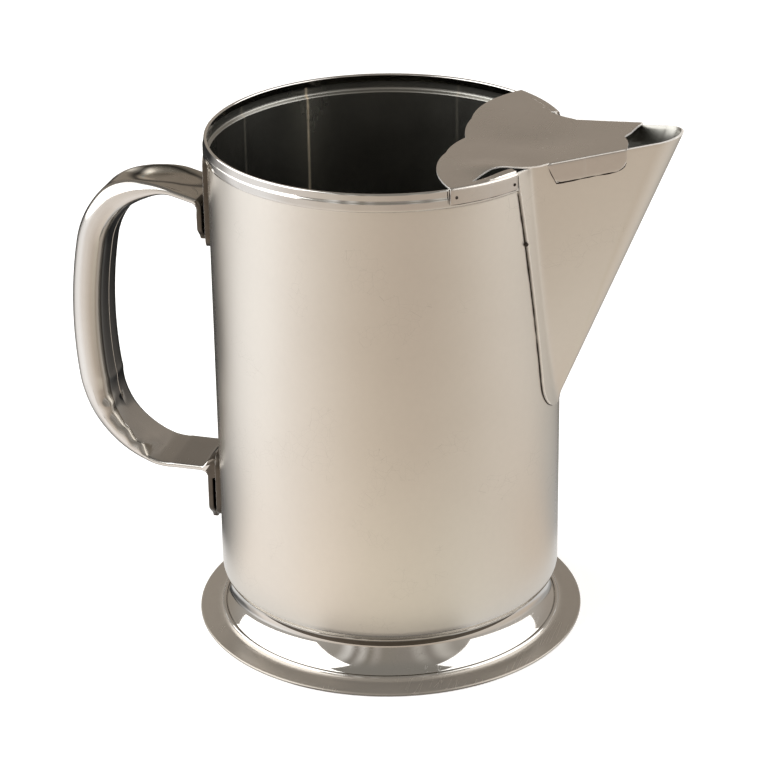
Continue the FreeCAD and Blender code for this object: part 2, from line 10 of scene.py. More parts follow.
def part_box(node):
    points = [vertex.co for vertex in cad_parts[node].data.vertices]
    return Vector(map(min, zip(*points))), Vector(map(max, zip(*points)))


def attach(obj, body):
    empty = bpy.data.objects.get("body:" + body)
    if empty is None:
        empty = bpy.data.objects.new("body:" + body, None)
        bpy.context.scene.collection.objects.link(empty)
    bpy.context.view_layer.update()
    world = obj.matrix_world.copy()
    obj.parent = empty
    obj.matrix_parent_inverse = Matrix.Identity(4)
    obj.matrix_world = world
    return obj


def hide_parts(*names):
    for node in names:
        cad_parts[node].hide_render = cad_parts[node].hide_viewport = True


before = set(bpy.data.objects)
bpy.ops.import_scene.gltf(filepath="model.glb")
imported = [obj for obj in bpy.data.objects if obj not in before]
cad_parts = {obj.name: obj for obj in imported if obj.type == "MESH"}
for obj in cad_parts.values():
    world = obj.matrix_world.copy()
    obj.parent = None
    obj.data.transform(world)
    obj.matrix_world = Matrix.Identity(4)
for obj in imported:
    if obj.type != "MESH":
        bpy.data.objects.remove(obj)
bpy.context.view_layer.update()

MM = 0.001
TAU = 2 * pi
COLUMNS = 240
BODY = "root"

# ---- sizes, from the frame

vessel_low, vessel_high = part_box("vessel_body")
foot_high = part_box("foot_ring")[1]
spout_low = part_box("spout")[0]
guard_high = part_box("ice_guard")[1]
handle_low, handle_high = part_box("handle")

SHEET = 0.8 * MM
GUARD_SHEET = 0.6 * MM
BAND_SWELL = 1.25 * MM
BAND_RADIUS = -vessel_low.x
WALL_RADIUS = BAND_RADIUS - BAND_SWELL
RIM = vessel_high.z
BASE = vessel_low.z
CORNER = 6.5 * MM
BAND_FOOT = RIM - 6.8 * MM
LIP_FOOT = RIM - 3.0 * MM
LIP_RADIUS = BAND_RADIUS - 0.45 * MM
LIP_WIDTH = 1.2 * MM
FLANGE_HALF = 31.2 * MM
FLANGE_FOOT = spout_low.z
OPENING_FOOT = 104 * MM
OPENING_HALF_FOOT = 4 * MM
OPENING_HALF_TOP = 23 * MM


# ---- small helpers

def mix(a, b, t):
    return a + (b - a) * t


def smooth(t):
    t = min(max(t, 0.0), 1.0)
    return t * t * (3 - 2 * t)


def spread(start, end, steps, first=0):
    """Evenly spaced values from start to end; first=1 leaves the start out."""
    return [mix(start, end, k / steps) for k in range(first, steps + 1)]


def arc_points(centre, radius, start, end, steps, first=0):
    """Points of an arc in a plane; angles in degrees."""
    angles = [radians(angle) for angle in spread(start, end, steps, first)]
    return [(centre[0] + radius * cos(angle), centre[1] + radius * sin(angle)) for angle in angles]


def arc_centre(start, end, radius):
    """Centre of an arc between two points of a plane; a positive radius turns left."""
    chord = dist(start, end)
    rise = sqrt(max(radius * radius - chord * chord / 4, 0.0)) * (1 if radius > 0 else -1)
    return (
        (start[0] + end[0]) / 2 - (end[1] - start[1]) / chord * rise,
        (start[1] + end[1]) / 2 + (end[0] - start[0]) / chord * rise,
    )


def line_points(start, end, steps):
    """Points of a straight stretch in a plane, after its start."""
    return list(zip(spread(start[0], end[0], steps, 1), spread(start[1], end[1], steps, 1)))


def circle_row(radius, z, gap=0.0):
    """Points round the axis at a height, from one side of a gap (half its angle) to the other."""
    angles = spread(gap, TAU - gap, COLUMNS)
    return [Vector((radius * cos(angle), radius * sin(angle), z)) for angle in angles]


def place_object(name, data):
    """A new object of the scene."""
    made = bpy.data.objects.new(name, data)
    bpy.context.scene.collection.objects.link(made)
    return made


def clean_mesh(bm):
    """Join doubled points, drop slivers and turn the faces outward."""
    bmesh.ops.remove_doubles(bm, verts=bm.verts, dist=1e-6)
    bmesh.ops.dissolve_degenerate(bm, edges=bm.edges, dist=1e-6)
    bmesh.ops.recalc_face_normals(bm, faces=bm.faces)


def mesh_object(name, bm, materials):
    """A smooth-shaded object made of a bmesh."""
    mesh = bpy.data.meshes.new(name)
    bm.to_mesh(mesh)
    bm.free()
    for polygon in mesh.polygons:
        polygon.use_smooth = True
    for material in materials:
        mesh.materials.append(material)
    return place_object(name, mesh)


def add_object(name, bm, *materials):
    """Turn a bmesh into a piece of the pitcher."""
    clean_mesh(bm)
    return mesh_object(name, bm, materials)


def sharpen(piece, degrees):
    """Keep edges that are sharper than this crisp."""
    piece.data.set_sharp_from_angle(angle=radians(degrees))


def add_grid(bm, rows, close_columns=False, close_rows=False):
    """Quads through rows of points; returns the vertices as rows."""
    grid = [[bm.verts.new(point) for point in row] for row in rows]
    row_count = len(grid)
    for r in range(row_count if close_rows else row_count - 1):
        this, after = grid[r], grid[(r + 1) % row_count]
        count = len(this)
        for c in range(count if close_columns else count - 1):
            d = (c + 1) % count
            bm.faces.new((this[c], this[d], after[d], after[c]))
    return grid


# ---- shader node helpers

class Value:
    """A number in a node tree; arithmetic on it adds Math nodes."""

    def __init__(self, tree, socket):
        self.tree = tree
        self.socket = socket

    def __add__(self, other):
        return math_node(self.tree, "ADD", self, other)

    def __sub__(self, other):
        return math_node(self.tree, "SUBTRACT", self, other)

    def __rsub__(self, other):
        return math_node(self.tree, "SUBTRACT", other, self)

    def __mul__(self, other):
        return math_node(self.tree, "MULTIPLY", self, other)

    def __truediv__(self, other):
        return math_node(self.tree, "DIVIDE", self, other)

    def __pow__(self, power):
        return math_node(self.tree, "POWER", self, power)

    def __abs__(self):
        return math_node(self.tree, "ABSOLUTE", self)

    def at_least(self, other):
        return math_node(self.tree, "MAXIMUM", self, other)

    def at_most(self, other):
        return math_node(self.tree, "MINIMUM", self, other)


def connect(tree, value, socket):
    """Link a socket or Value to a node's input, or set the input to a plain value."""
    value = getattr(value, "socket", value)
    if isinstance(value, bpy.types.NodeSocket):
        tree.links.new(value, socket)
    else:
        socket.default_value = value


def add_node(tree, kind, inputs=None, **settings):
    """A shader node; inputs go by name or number."""
    node = tree.nodes.new("ShaderNode" + kind)
    for name, value in settings.items():
        setattr(node, name, value)
    for key, value in (inputs or {}).items():
        connect(tree, value, node.inputs[key])
    return node


def math_node(tree, operation, *operands):
    node = add_node(tree, "Math", dict(enumerate(operands)), operation=operation)
    return Value(tree, node.outputs["Value"])


def parts_of(tree, vector):
    """The x, y and z of a vector."""
    split = add_node(tree, "SeparateXYZ", {0: vector})
    return [Value(tree, socket) for socket in split.outputs]


def dot_with(tree, vector, direction):
    """A vector's share along a direction."""
    node = add_node(tree, "VectorMath", {0: vector, 1: tuple(direction)}, operation="DOT_PRODUCT")
    return Value(tree, node.outputs["Value"])


def mix_colour(tree, factor, a, b):
    a, b = [(*colour, 1) if isinstance(colour, tuple) else colour for colour in (a, b)]
    return add_node(tree, "Mix", {0: factor, 6: a, 7: b}, data_type="RGBA").outputs[2]


def ramp(tree, value, stops, low=0.0, high=1.0):
    """A colour ramp over low..high; stops are (position, colour), where a colour may be one grey level."""
    scale = add_node(tree, "MapRange", {"Value": value, "From Min": low, "From Max": high})
    node = add_node(tree, "ValToRGB", {"Fac": scale.outputs["Result"]})
    node.color_ramp.interpolation = "EASE"
    elements = node.color_ramp.elements
    while len(elements) < len(stops):
        elements.new(0.5)
    for element, (position, colour) in zip(elements, stops):
        element.position = (position - low) / (high - low)
        element.color = (*colour, 1) if isinstance(colour, tuple) else (colour, colour, colour, 1)
    return node.outputs["Color"]


def noise_node(tree, vector, scale, detail=3.0, stretch=(1, 1, 1)):
    """Centred noise, about -0.5 to 0.5, over a stretched copy of the coordinates."""
    mapping = add_node(tree, "Mapping", {"Vector": vector, "Scale": stretch})
    node = add_node(tree, "TexNoise", {"Vector": mapping.outputs[0], "Scale": scale, "Detail": detail})
    return Value(tree, node.outputs["Fac"]) - 0.5


# ---- materials

AROUND, UPRIGHT = (0.05, 1.0, 1.0), (1.0, 0.02, 1.0)
# colour and width of the painted highlight streaks on the inner wall
STREAK_HIGHLIGHT_TINT = (0.86, 0.70, 0.48)
STREAK_WIDTH = 0.8 * MM


def round_coordinates(tree, position):
    """Position unrolled about the axis: (way round in metres, height)."""
    x, y, z = parts_of(tree, position)
    turn = math_node(tree, "ARCTAN2", y, x)
    return add_node(tree, "CombineXYZ", {"X": turn * WALL_RADIUS, "Y": z}).outputs[0]


def scratch_lines(tree, position, turn, scale, thin):
    """Sparse fine scratches in one direction: 1 on a scratch, 0 elsewhere."""
    turned = {"Vector": position, "Rotation": (turn, 0.3 * turn, turn), "Scale": (1.0, 0.035, 1.0)}
    cells = {"Vector": add_node(tree, "Mapping", turned).outputs[0], "Scale": scale}
    distance = add_node(tree, "TexVoronoi", cells, feature="DISTANCE_TO_EDGE").outputs["Distance"]
    patch = math_node(tree, "GREATER_THAN", noise_node(tree, position, 45, 1.0), 0.09)
    return math_node(tree, "LESS_THAN", distance, thin) * patch


def handle_painted_shade(tree, position):
    """Painted shade of the handle: darker on its inner face and on the broad faces of the flattened ends."""
    normal = add_node(tree, "NewGeometry").outputs["Normal"]
    inner = dot_with(tree, normal, (1, 0, 0)).at_least(0.0)
    broad = 1.0 - abs(dot_with(tree, normal, (0, 1, 0))) ** 2.0
    reach = dot_with(tree, position, (1, 0, 0.116)) + 80 * MM
    reached = {"Value": reach, "From Min": -3 * MM, "From Max": 7 * MM}
    ends = add_node(tree, "MapRange", reached, interpolation_type="SMOOTHSTEP").outputs["Result"]
    top = (dot_with(tree, normal, (-0.5, 0, 0.87)) * broad).at_least(0.0)
    return 1.0 - (inner * 0.5).at_least(broad * ends * 0.52).at_least(top * 0.5)


def scoop_painted_light(tree, position):
    """Painted shade and highlight of the thumb scoop: a dark line round its edge, and a bright crescent
    inside its outer end.
    """
    x, y, _ = parts_of(tree, position)
    centre_x, half_length = -81.5 * MM, 14 * MM
    centre_y, half_width = 3 * MM, 6 * MM
    along = (x - centre_x) / half_length
    across = (y - centre_y) / half_width
    out = math_node(tree, "SQRT", abs(along) ** 2.0 + abs(across) ** 2.0)

    def band(middle, width):
        return (1.0 - abs(out - middle) / width).at_least(0.0)

    outer_end = ((along + 0.3) * -2.5).at_least(0.0).at_most(1.0)
    return 1.0 - band(1.0, 0.22) * 0.88 + band(0.76, 0.18) * outer_end * 2.0


def painted_streak_highlight(tree, unrolled, streaks):
    """Painted highlight lines upright on the inner wall, as (degrees round, strength): 0 to 1 where they
    catch light.
    """
    way = parts_of(tree, unrolled)[0]
    glint = 0.0
    for angle, strength in streaks:
        away = abs(way - WALL_RADIUS * radians(angle))
        glint = (1.0 - away / STREAK_WIDTH).at_least(0.0) * strength + glint
    return glint * (noise_node(tree, unrolled, 160, 3.0, (0.2, 1.0, 1.0)) + 0.7)


def steel_material(name, tint, roughness, brushed=0.0, grain=0.0, dents=0.0, blotch=0.0, scratches=0.0,
                   specks=0.0, brushing=AROUND, streaks=(), painted_light=None, metallic=1.0):
    """Steel sheet. Heights of the surface detail are in metres; blotch, scratches and specks are shares."""
    material = bpy.data.materials.new(name)
    material.use_nodes = True
    tree = material.node_tree
    position = add_node(tree, "TexCoord").outputs["Object"]
    unrolled = round_coordinates(tree, position)
    cloud = noise_node(tree, position, 38, 4.0)
    fine_cloud = noise_node(tree, position, 420, 2.0)
    line = noise_node(tree, unrolled, 900, 2.0, brushing)
    marks = scratch_lines(tree, position, 0.9, 260, 0.006) + scratch_lines(tree, position, 2.1, 200, 0.004)

    grazing = Value(tree, add_node(tree, "LayerWeight", {"Blend": 0.5}).outputs["Facing"]) ** 5.0
    rough = cloud * blotch + roughness + line * (0.3 * blotch) + marks * (0.25 * scratches)
    rough = rough * (1.0 - grazing * 0.6)
    shade = fine_cloud * (0.5 * blotch) + 1.0 + cloud * (0.5 * blotch) - marks * (0.20 * scratches)
    if specks:
        cells = add_node(tree, "TexVoronoi", {"Vector": position, "Scale": 330})
        spot = math_node(tree, "LESS_THAN", cells.outputs["Distance"], 0.13)
        few = math_node(tree, "GREATER_THAN", noise_node(tree, position, 190, 1.0), 0.14)
        shade = shade + spot * few * specks
    # an optional function that scales the colour: painted shade and painted highlights
    if painted_light is not None:
        shade = shade * painted_light(tree, position)
    colour = add_node(tree, "VectorMath", {0: tint, "Scale": shade}, operation="SCALE").outputs["Vector"]
    # painted highlight: along the streaks the steel turns warm and less metallic, so the lamps light it
    if streaks:
        glint = painted_streak_highlight(tree, unrolled, streaks)
        metallic = 1.0 - glint
        colour = mix_colour(tree, glint, colour, STREAK_HIGHLIGHT_TINT)
    height = line * brushed + fine_cloud * grain + noise_node(tree, position, 32, 1.5) * dents
    height = height - marks * (4e-6 * scratches)
    normal = add_node(tree, "Bump", {"Strength": 1.0, "Distance": 1.0, "Height": height}).outputs["Normal"]
    shader = tree.nodes["Principled BSDF"]
    surface = {"Base Color": colour, "Metallic": metallic, "Roughness": rough, "Normal": normal}
    for key, value in surface.items():
        connect(tree, value, shader.inputs[key])
    return material


SATIN = steel_material("satin_steel", (0.70, 0.665, 0.61), 0.38, brushed=1.0e-6, grain=7e-6, dents=1.2e-4,
                       blotch=0.08, scratches=0.5)
POLISHED = steel_material("polished_steel", (0.64, 0.62, 0.59), 0.06, brushed=0.5e-6, grain=0.8e-6,
                          dents=2.2e-4, blotch=0.06, scratches=0.5)
# painted shade: the inner face, the top and the broad faces of the flattened ends are darkened
GRIP = steel_material("grip_steel", (0.68, 0.655, 0.62), 0.15, grain=2.0e-6, dents=1.4e-4,
                      blotch=0.10, scratches=0.5, painted_light=handle_painted_shade)
# painted shade: the flange's tint is darker than the rest of the foot's steel
FLANGE = steel_material("foot_flange_steel", (0.42, 0.385, 0.34), 0.25, brushed=0.8e-6, grain=1.0e-6,
                        dents=1.2e-4, blotch=0.14, scratches=0.6, metallic=0.6)
# painted shade: a darker tint for the top of the handle, with the scoop's painted dark edge line and bright
# crescent
SCOOP = steel_material("scoop_steel", (0.42, 0.385, 0.335), 0.30, brushed=3e-6, grain=1.2e-5, dents=2.0e-4,
                       blotch=0.5, scratches=0.8, painted_light=scoop_painted_light)
# painted highlight: near-white, part-diffuse steel that makes edges and folds show bright lines
EDGE_HIGHLIGHT = steel_material("painted_highlight_edge_steel", (0.92, 0.90, 0.87), 0.35, blotch=0.3, metallic=0.45)
# painted shade: a darker copy of the steel for the insides of the cup and spout, with painted highlight
# streaks
SHADED_INTERIOR = steel_material("interior_painted_shade_steel", (0.34, 0.335, 0.31), 0.30, brushed=4e-6, grain=1e-6, dents=1.0e-4,
                          blotch=0.15, brushing=UPRIGHT, streaks=((133, 0.8), (161, 0.22), (80, 0.18)))
GUARD = steel_material("guard_steel", (0.60, 0.565, 0.525), 0.30, grain=5e-6, dents=2.0e-4, blotch=0.14,
                       scratches=0.3, specks=1.2)
# dark weld metal for the real seams and spot welds, also used for the painted shadow lines round the guard's
# tabs
WELD_AND_SHADOW = steel_material("weld_and_painted_shadow_metal", (0.055, 0.045, 0.04), 0.45, grain=2e-5, blotch=0.5)
# painted shade: near-black steel put where gaps and recesses fall into shadow
CREVICE_SHADE = steel_material("painted_crevice_shade", (0.10, 0.085, 0.07), 0.35, grain=2e-6, blotch=0.6)


# ---- vessel body

def opening_half_angle(z):
    """Half the angle that the spout's opening takes out of the vessel's wall at a height."""
    if z < OPENING_FOOT - 0.2 * MM:
        return 0.0
    if z >= BAND_FOOT:
        return asin((FLANGE_HALF + 0.1 * MM) / BAND_RADIUS)
    t = (z - OPENING_FOOT) / (BAND_FOOT - OPENING_FOOT)
    return asin(mix(OPENING_HALF_FOOT, OPENING_HALF_TOP, max(t, 0.0)) / WALL_RADIUS)


def build_vessel():
    """The cup as one closed profile turned about the axis, split where the spout opens."""
    inner = WALL_RADIUS - SHEET
    inner_corner = CORNER - SHEET
    wall_heights = spread(BASE + CORNER, OPENING_FOOT - 0.3 * MM, 10)
    wall_heights += spread(OPENING_FOOT, BAND_FOOT - 0.3 * MM, 12)
    outer = [(0.0, BASE), (WALL_RADIUS * 0.5, BASE), (WALL_RADIUS - CORNER - 1 * MM, BASE)]
    outer += arc_points((WALL_RADIUS - CORNER, BASE + CORNER), CORNER, -90, 0, 14)
    outer += [(WALL_RADIUS, z) for z in wall_heights[1:]]
    step_top = BAND_FOOT + 0.8 * MM
    step = [(BAND_SWELL * smooth(t), mix(BAND_FOOT, step_top, t)) for t in spread(0, 1, 6)]
    outer += [(WALL_RADIUS + out, z) for out, z in step]
    outer += line_points((BAND_RADIUS, step_top), (BAND_RADIUS, LIP_FOOT - 0.15 * MM), 3)
    lip_round = LIP_WIDTH / 2
    outer += [(BAND_RADIUS - 0.10 * MM, LIP_FOOT), (BAND_RADIUS - 0.18 * MM, LIP_FOOT + 0.25 * MM)]
    outer += line_points(outer[-1], (LIP_RADIUS, RIM - lip_round), 3)
    outer += arc_points((LIP_RADIUS - lip_round, RIM - lip_round), lip_round, 0, 180, 10, first=1)
    inside = [(BAND_RADIUS - SHEET, LIP_FOOT)]
    inside += line_points(inside[0], (BAND_RADIUS - SHEET, step_top), 3)
    inside += [(inner + out, z) for out, z in reversed(step[:-1])]
    inside += [(inner, z) for z in reversed(wall_heights)]
    inside += arc_points((WALL_RADIUS - CORNER, BASE + CORNER), inner_corner, 0, -90, 10, first=1)
    inside += [(WALL_RADIUS * 0.5, BASE + SHEET), (0.0, BASE + SHEET)]

    bm = bmesh.new()
    rows = [circle_row(radius, z, opening_half_angle(z)) for radius, z in outer + inside]
    grid = add_grid(bm, rows)
    # close the cut edges of the opening: strips up the wall, and one face across the band
    heights = [z for _, z in outer + inside]
    count = len(heights)
    first_open = next(k for k in range(count) if heights[k] >= OPENING_FOOT)
    last_open = max(k for k in range(count) if heights[k] >= OPENING_FOOT)
    for side in (0, COLUMNS):
        a, b = first_open, last_open
        while heights[a + 1] < BAND_FOOT and heights[b - 1] < BAND_FOOT:
            bm.faces.new((grid[a][side], grid[a + 1][side], grid[b - 1][side], grid[b][side]))
            a += 1
            b -= 1
        bm.faces.new([grid[k][side] for k in range(a, b + 1)])
    low, high = grid[first_open], grid[last_open]
    bm.faces.new((low[0], high[0], high[COLUMNS], low[COLUMNS]))
    piece = add_object("vessel", bm, SATIN, POLISHED, SHADED_INTERIOR)
    satin_low, satin_high = BASE + CORNER * 0.75, BAND_FOOT - 0.1 * MM
    for polygon in piece.data.polygons:
        middle = polygon.center
        inside = polygon.normal.dot(Vector((middle.x, middle.y, 0))) < 0 or (
            polygon.normal.z > 0.3 and middle.z < RIM - 1 * MM)
        # painted shade: the inside of the cup takes the darker interior steel
        if inside and middle.z < LIP_FOOT:
            polygon.material_index = 2
        elif middle.z > satin_high or middle.z < satin_low:
            polygon.material_index = 1
    sharpen(piece, 40)
    return piece


# ---- foot ring

def build_foot():
    """The pressed pedestal, one sheet all the way, turned about the axis."""
    outer_radius = foot_high.x
    seat = foot_high.z
    edge = 1.1 * MM
    ridge = 62.2 * MM
    ridge_top, ridge_round = 3.2 * MM, 0.9 * MM
    neck = 55.5 * MM
    cove = 15 * MM
    seat_inner = 49 * MM
    shoulder = 1.5 * MM
    top = [(seat_inner, seat), (neck - shoulder, seat)]
    top += arc_points((neck - shoulder, seat - shoulder), shoulder, 90, 5, 8, first=1)
    start = top[-1]
    end = (ridge - ridge_round, ridge_top - 0.1 * MM)
    centre = arc_centre(start, end, cove)
    first = degrees(atan2(start[1] - centre[1], start[0] - centre[0])) % 360
    last = degrees(atan2(end[1] - centre[1], end[0] - centre[0])) % 360
    top += arc_points(centre, cove, first, last, 24, first=1)
    top += arc_points((ridge, ridge_top - ridge_round), ridge_round, 140, 15, 8)
    top += [(ridge + 1.3 * MM, edge + 0.9 * MM), (ridge + 2.0 * MM, edge + 0.55 * MM)]
    top += line_points(top[-1], (outer_radius - 0.7 * MM, edge), 6)
    top += arc_points((outer_radius - edge / 2, edge / 2), edge / 2, 90, -90, 8)
    bottom = [
        (ridge + 1 * MM, 0.0),
        (ridge - 0.2 * MM, 0.25 * MM),
        (ridge - 1.4 * MM, ridge_top - 1.2 * MM),
    ]
    bottom += arc_points(centre, cove + SHEET, last, first, 14)
    bottom += [(neck - 3.4 * MM, seat - SHEET), (seat_inner, seat - SHEET)]
    bm = bmesh.new()
    rows = [circle_row(radius, z)[:-1] for radius, z in top + bottom]
    add_grid(bm, rows, close_columns=True, close_rows=True)
    piece = add_object("foot", bm, POLISHED, FLANGE, CREVICE_SHADE)
    for polygon in piece.data.polygons:
        middle = polygon.center
        if hypot(middle.x, middle.y) > ridge + 1 * MM:
            polygon.material_index = 1
        # painted shade: the shoulder under the body's bottom corner takes the dark crevice steel
        if middle.z > seat - shoulder * 1.8:
            polygon.material_index = 2
    sharpen(piece, 40)
    return piece


# ---- spout

SPOUT_LEVELS = {
    # height, nose reach, nose radius, half angle of the wedge
    "low": (91 * MM, 63.3 * MM, 2.2 * MM, radians(54.3)),
    "high": (201 * MM, 108.0 * MM, 11.1 * MM, radians(20.3)),
}
WEDGE_BACK = 50 * MM
FLANGE_FACE = WALL_RADIUS + 0.05 * MM + SHEET
TONGUE_ROUND = 15.8 * MM
LIP_START = 60 * MM
LIP_SLOPE = tan(radians(9.6))


def lip_height(reach):
    """Height of the spout's top edge at a distance from the vessel's axis."""
    return RIM + max(reach - LIP_START, 0.0) * LIP_SLOPE


def wedge_level(z):
    """The wedge's plan at a height: nose centre, nose radius, touch point and back half width."""
    low, high = SPOUT_LEVELS["low"], SPOUT_LEVELS["high"]
    t = (z - low[0]) / (high[0] - low[0])
    values = []
    for height, reach, radius, angle in (low, high):
        centre = reach - radius
        touch_x = centre + radius * sin(angle)
        touch_y = radius * cos(angle)
        back_y = touch_y + (touch_x - WEDGE_BACK) * tan(angle)
        values.append((centre, radius, touch_x, touch_y, back_y))
    return [mix(a, b, t) for a, b in zip(*values)]


def wedge_reach(y, z):
    """How far the wedge's outside reaches in x, at a half width and a height."""
    centre, radius, touch_x, touch_y, back_y = wedge_level(z)
    y = abs(y)
    if y <= touch_y:
        share = y / touch_y
        top = centre + radius
        curve = 1 - sqrt(max(1 - (share * 0.98) ** 2, 0.0))
        full = 1 - sqrt(1 - 0.98 ** 2)
        return top + (touch_x - top) * curve / full
    return touch_x - (y - touch_y) * (touch_x - WEDGE_BACK) / (back_y - touch_y)


def soft_max(a, b, k):
    """The larger of two values, eased together where they are within k."""
    h = max(k - abs(a - b), 0.0)
    return max(a, b) + h * h / (4 * k)


def flange_half_width(z):
    """Half the width of the spout's tongue-shaped flange."""
    taper = radians(9.6)
    centre = FLANGE_FOOT + TONGUE_ROUND
    touch = centre - TONGUE_ROUND * sin(taper)
    if z >= touch:
        share = (z - touch) / (RIM - touch)
        return mix(TONGUE_ROUND * cos(taper), FLANGE_HALF, share)
    return sqrt(max(TONGUE_ROUND ** 2 - (centre - z) ** 2, 0.0))


def tongue_heights(first, step):
    """Heights round the flange's lower end, at even angles."""
    return [FLANGE_FOOT + TONGUE_ROUND * (1 - cos(radians(angle))) for angle in range(first, 80, step)]


def crease_half_width(z):
    """Half width at which the wedge leaves the flange."""
    _, _, touch_x, touch_y, back_y = wedge_level(z)
    low, high = 0.0, back_y
    for _ in range(30):
        y = (low + high) / 2
        if wedge_reach(y, z) > sqrt(max(FLANGE_FACE ** 2 - y * y, 0.0)):
            low = y
        else:
            high = y
    return low


def spout_point(y, z):
    """A point of the spout's outside."""
    face = sqrt(max(FLANGE_FACE ** 2 - y * y, 0.0))
    x = soft_max(face, wedge_reach(y, z), 1.6 * MM)
    return Vector((x, y, z))


def build_spout():
    """The folded wedge and its flange as one pressed sheet."""
    flange_columns, side_columns, nose_columns = 12, 26, 14

    def column_positions(z):
        half = flange_half_width(z)
        crease = min(crease_half_width(z), half * 0.98)
        touch = min(wedge_level(z)[3], crease * 0.9)
        positions = [mix(half, crease, smooth(k / flange_columns) * 0.35 + 0.65 * k / flange_columns)
                     for k in range(flange_columns)]
        positions += spread(crease, touch, side_columns)[:-1]
        positions += [touch * sin(radians(90 * (1 - k / nose_columns)))
                      for k in range(nose_columns + 1)]
        return positions + [-y for y in reversed(positions[:-1])]

    level = 180 * MM
    heights = tongue_heights(3, 5)
    heights += spread(heights[-1], level, 44, 1)
    rows = [[spout_point(y, z) for y in column_positions(z)] for z in heights]
    # above this level the rows spread out to meet the sloping top edge
    top_steps = 9
    tops = []
    for c in range(len(rows[0])):
        z = RIM
        for _ in range(12):
            y = column_positions(z)[c]
            z = lip_height(spout_point(y, z).x)
        tops.append(z)
    for share in spread(0, 1, top_steps, 1):
        heights = [mix(level, top, share) for top in tops]
        rows.append([spout_point(column_positions(z)[c], z) for c, z in enumerate(heights)])
    bm = bmesh.new()
    add_grid(bm, rows)
    materials = (SATIN, EDGE_HIGHLIGHT, SHADED_INTERIOR)
    piece = sheet_object("spout_nose", bm, materials, SHEET, lambda point: Vector((point.x, point.y, 0)))
    # the inside takes the interior steel's painted shade, the cut rim the edge steel's painted highlight
    piece.modifiers["sheet"].material_offset = 2
    piece.modifiers["sheet"].material_offset_rim = 1
    return piece


def sheet_object(name, bm, materials, thickness, outward, edge_round=0.25 * MM):
    """A sheet-metal piece from an open surface, with eased cut edges in its second material; every piece here
    puts the painted highlight edge steel in that slot.

    outward(point) says which way the surface should look.
    """
    clean_mesh(bm)
    bm.normal_update()
    if sum(face.normal.dot(outward(face.calc_center_median())) for face in bm.faces) < 0:
        bmesh.ops.reverse_faces(bm, faces=bm.faces)
    piece = mesh_object(name, bm, materials)
    sheet = piece.modifiers.new("sheet", "SOLIDIFY")
    sheet.thickness = thickness
    sheet.offset = -1.0
    sheet.use_even_offset = True
    ease = piece.modifiers.new("eased_edges", "BEVEL")
    ease.width = edge_round
    ease.segments = 2
    ease.limit_method = "ANGLE"
    ease.angle_limit = radians(50)
    ease.material = 1
    return piece


# ---- ice guard

GUARD_LIFT = 0.05 * MM
GUARD_FRONT = guard_high.x
TAB_FOLD = 0.9 * MM
TAB_RADIUS = BAND_RADIUS + GUARD_LIFT + GUARD_SHEET
RIM_TAB_DROP = 5.1 * MM
RIM_TAB_OUTER, RIM_TAB_INNER = 54.4, 30.3
SLOT_OUTER, SLOT_INNER = 46.0, 29.0


def polar(radius, degrees):
    return (radius * cos(radians(degrees)), radius * sin(radians(degrees)))


def arc_through(start, end, radius, steps):
    """Points after start up to end; a positive radius turns left."""
    cx, cy = arc_centre(start, end, radius)
    first = atan2(start[1] - cy, start[0] - cx)
    sweep = atan2(end[1] - cy, end[0] - cx) - first
    if radius > 0 and sweep < 0:
        sweep += TAU
    if radius < 0 and sweep > 0:
        sweep -= TAU
    turns = spread(first, first + sweep, steps, 1)
    return [(cx + abs(radius) * cos(turn), cy + abs(radius) * sin(turn)) for turn in turns]


def guard_side(x):
    """Half width of the plate over the spout, at the fold of its side tabs."""
    z = lip_height(x)
    _, _, touch_x, touch_y, back_y = wedge_level(z)
    slope = (back_y - touch_y) / (touch_x - WEDGE_BACK)
    return touch_y + (touch_x - x) * slope + GUARD_SHEET - TAB_FOLD * 0.4


SIDE_LEAN = 0.10
SIDE_TAB_DEPTH = 7.5 * MM


def side_tab_drop(x):
    """How far a side tab hangs below its fold; its ends are rounded."""
    from_back = min(max((x - 63.8 * MM) / (2.6 * MM), 0.0), 1.0)
    from_front = (GUARD_FRONT - x) / (4 * MM)
    round_front = sqrt(max(1 - (1 - min(max(from_front, 0.0), 1.0)) ** 2, 0.0))
    return (SIDE_TAB_DEPTH - TAB_FOLD) * (from_back - 0.6 * (1 - round_front))


def side_tab_foot(x, sign, below):
    """A point at a side tab's lower edge, or a little below it."""
    drop = side_tab_drop(x) + below
    y = guard_side(x) + TAB_FOLD - GUARD_SHEET - SIDE_LEAN * drop
    return Vector((x, sign * y, guard_height(x, guard_side(x)) - TAB_FOLD - drop))


def guard_outline(gap, bow, notch):
    """One half of the plate's plan, from the centre of the scallop round to the front notch.

    gap and bow are the width of the slot at its front end and the radius of its inner edge; notch holds
    points of the front edge, in millimetres, as (behind the front corner, half width).
    """
    edge = TAB_RADIUS - TAB_FOLD
    points = [(29.3 * MM, 0.0)]
    points += arc_through(points[-1], (26.9 * MM, 18.0 * MM), -42 * MM, 8)
    points += arc_through(points[-1], polar(edge, RIM_TAB_OUTER), -42 * MM, 14)
    points += [polar(edge, angle) for angle in spread(RIM_TAB_OUTER, RIM_TAB_INNER, 16, 1)]
    slot_edge = WALL_RADIUS - LIP_WIDTH
    points += [polar(slot_edge, angle) for angle in spread(RIM_TAB_INNER, SLOT_OUTER, 10)]
    heel = polar(slot_edge - gap, SLOT_INNER)
    points += arc_through(points[-1], heel, bow, 10)
    points.append((61.5 * MM, 24.6 * MM))
    front = GUARD_FRONT
    points += [(x, guard_side(x)) for x in spread(64 * MM, front, 12)]
    points += [(front + behind * MM, half * MM) for behind, half in notch]
    points.append((front - 3.6 * MM, 0.0))
    return points


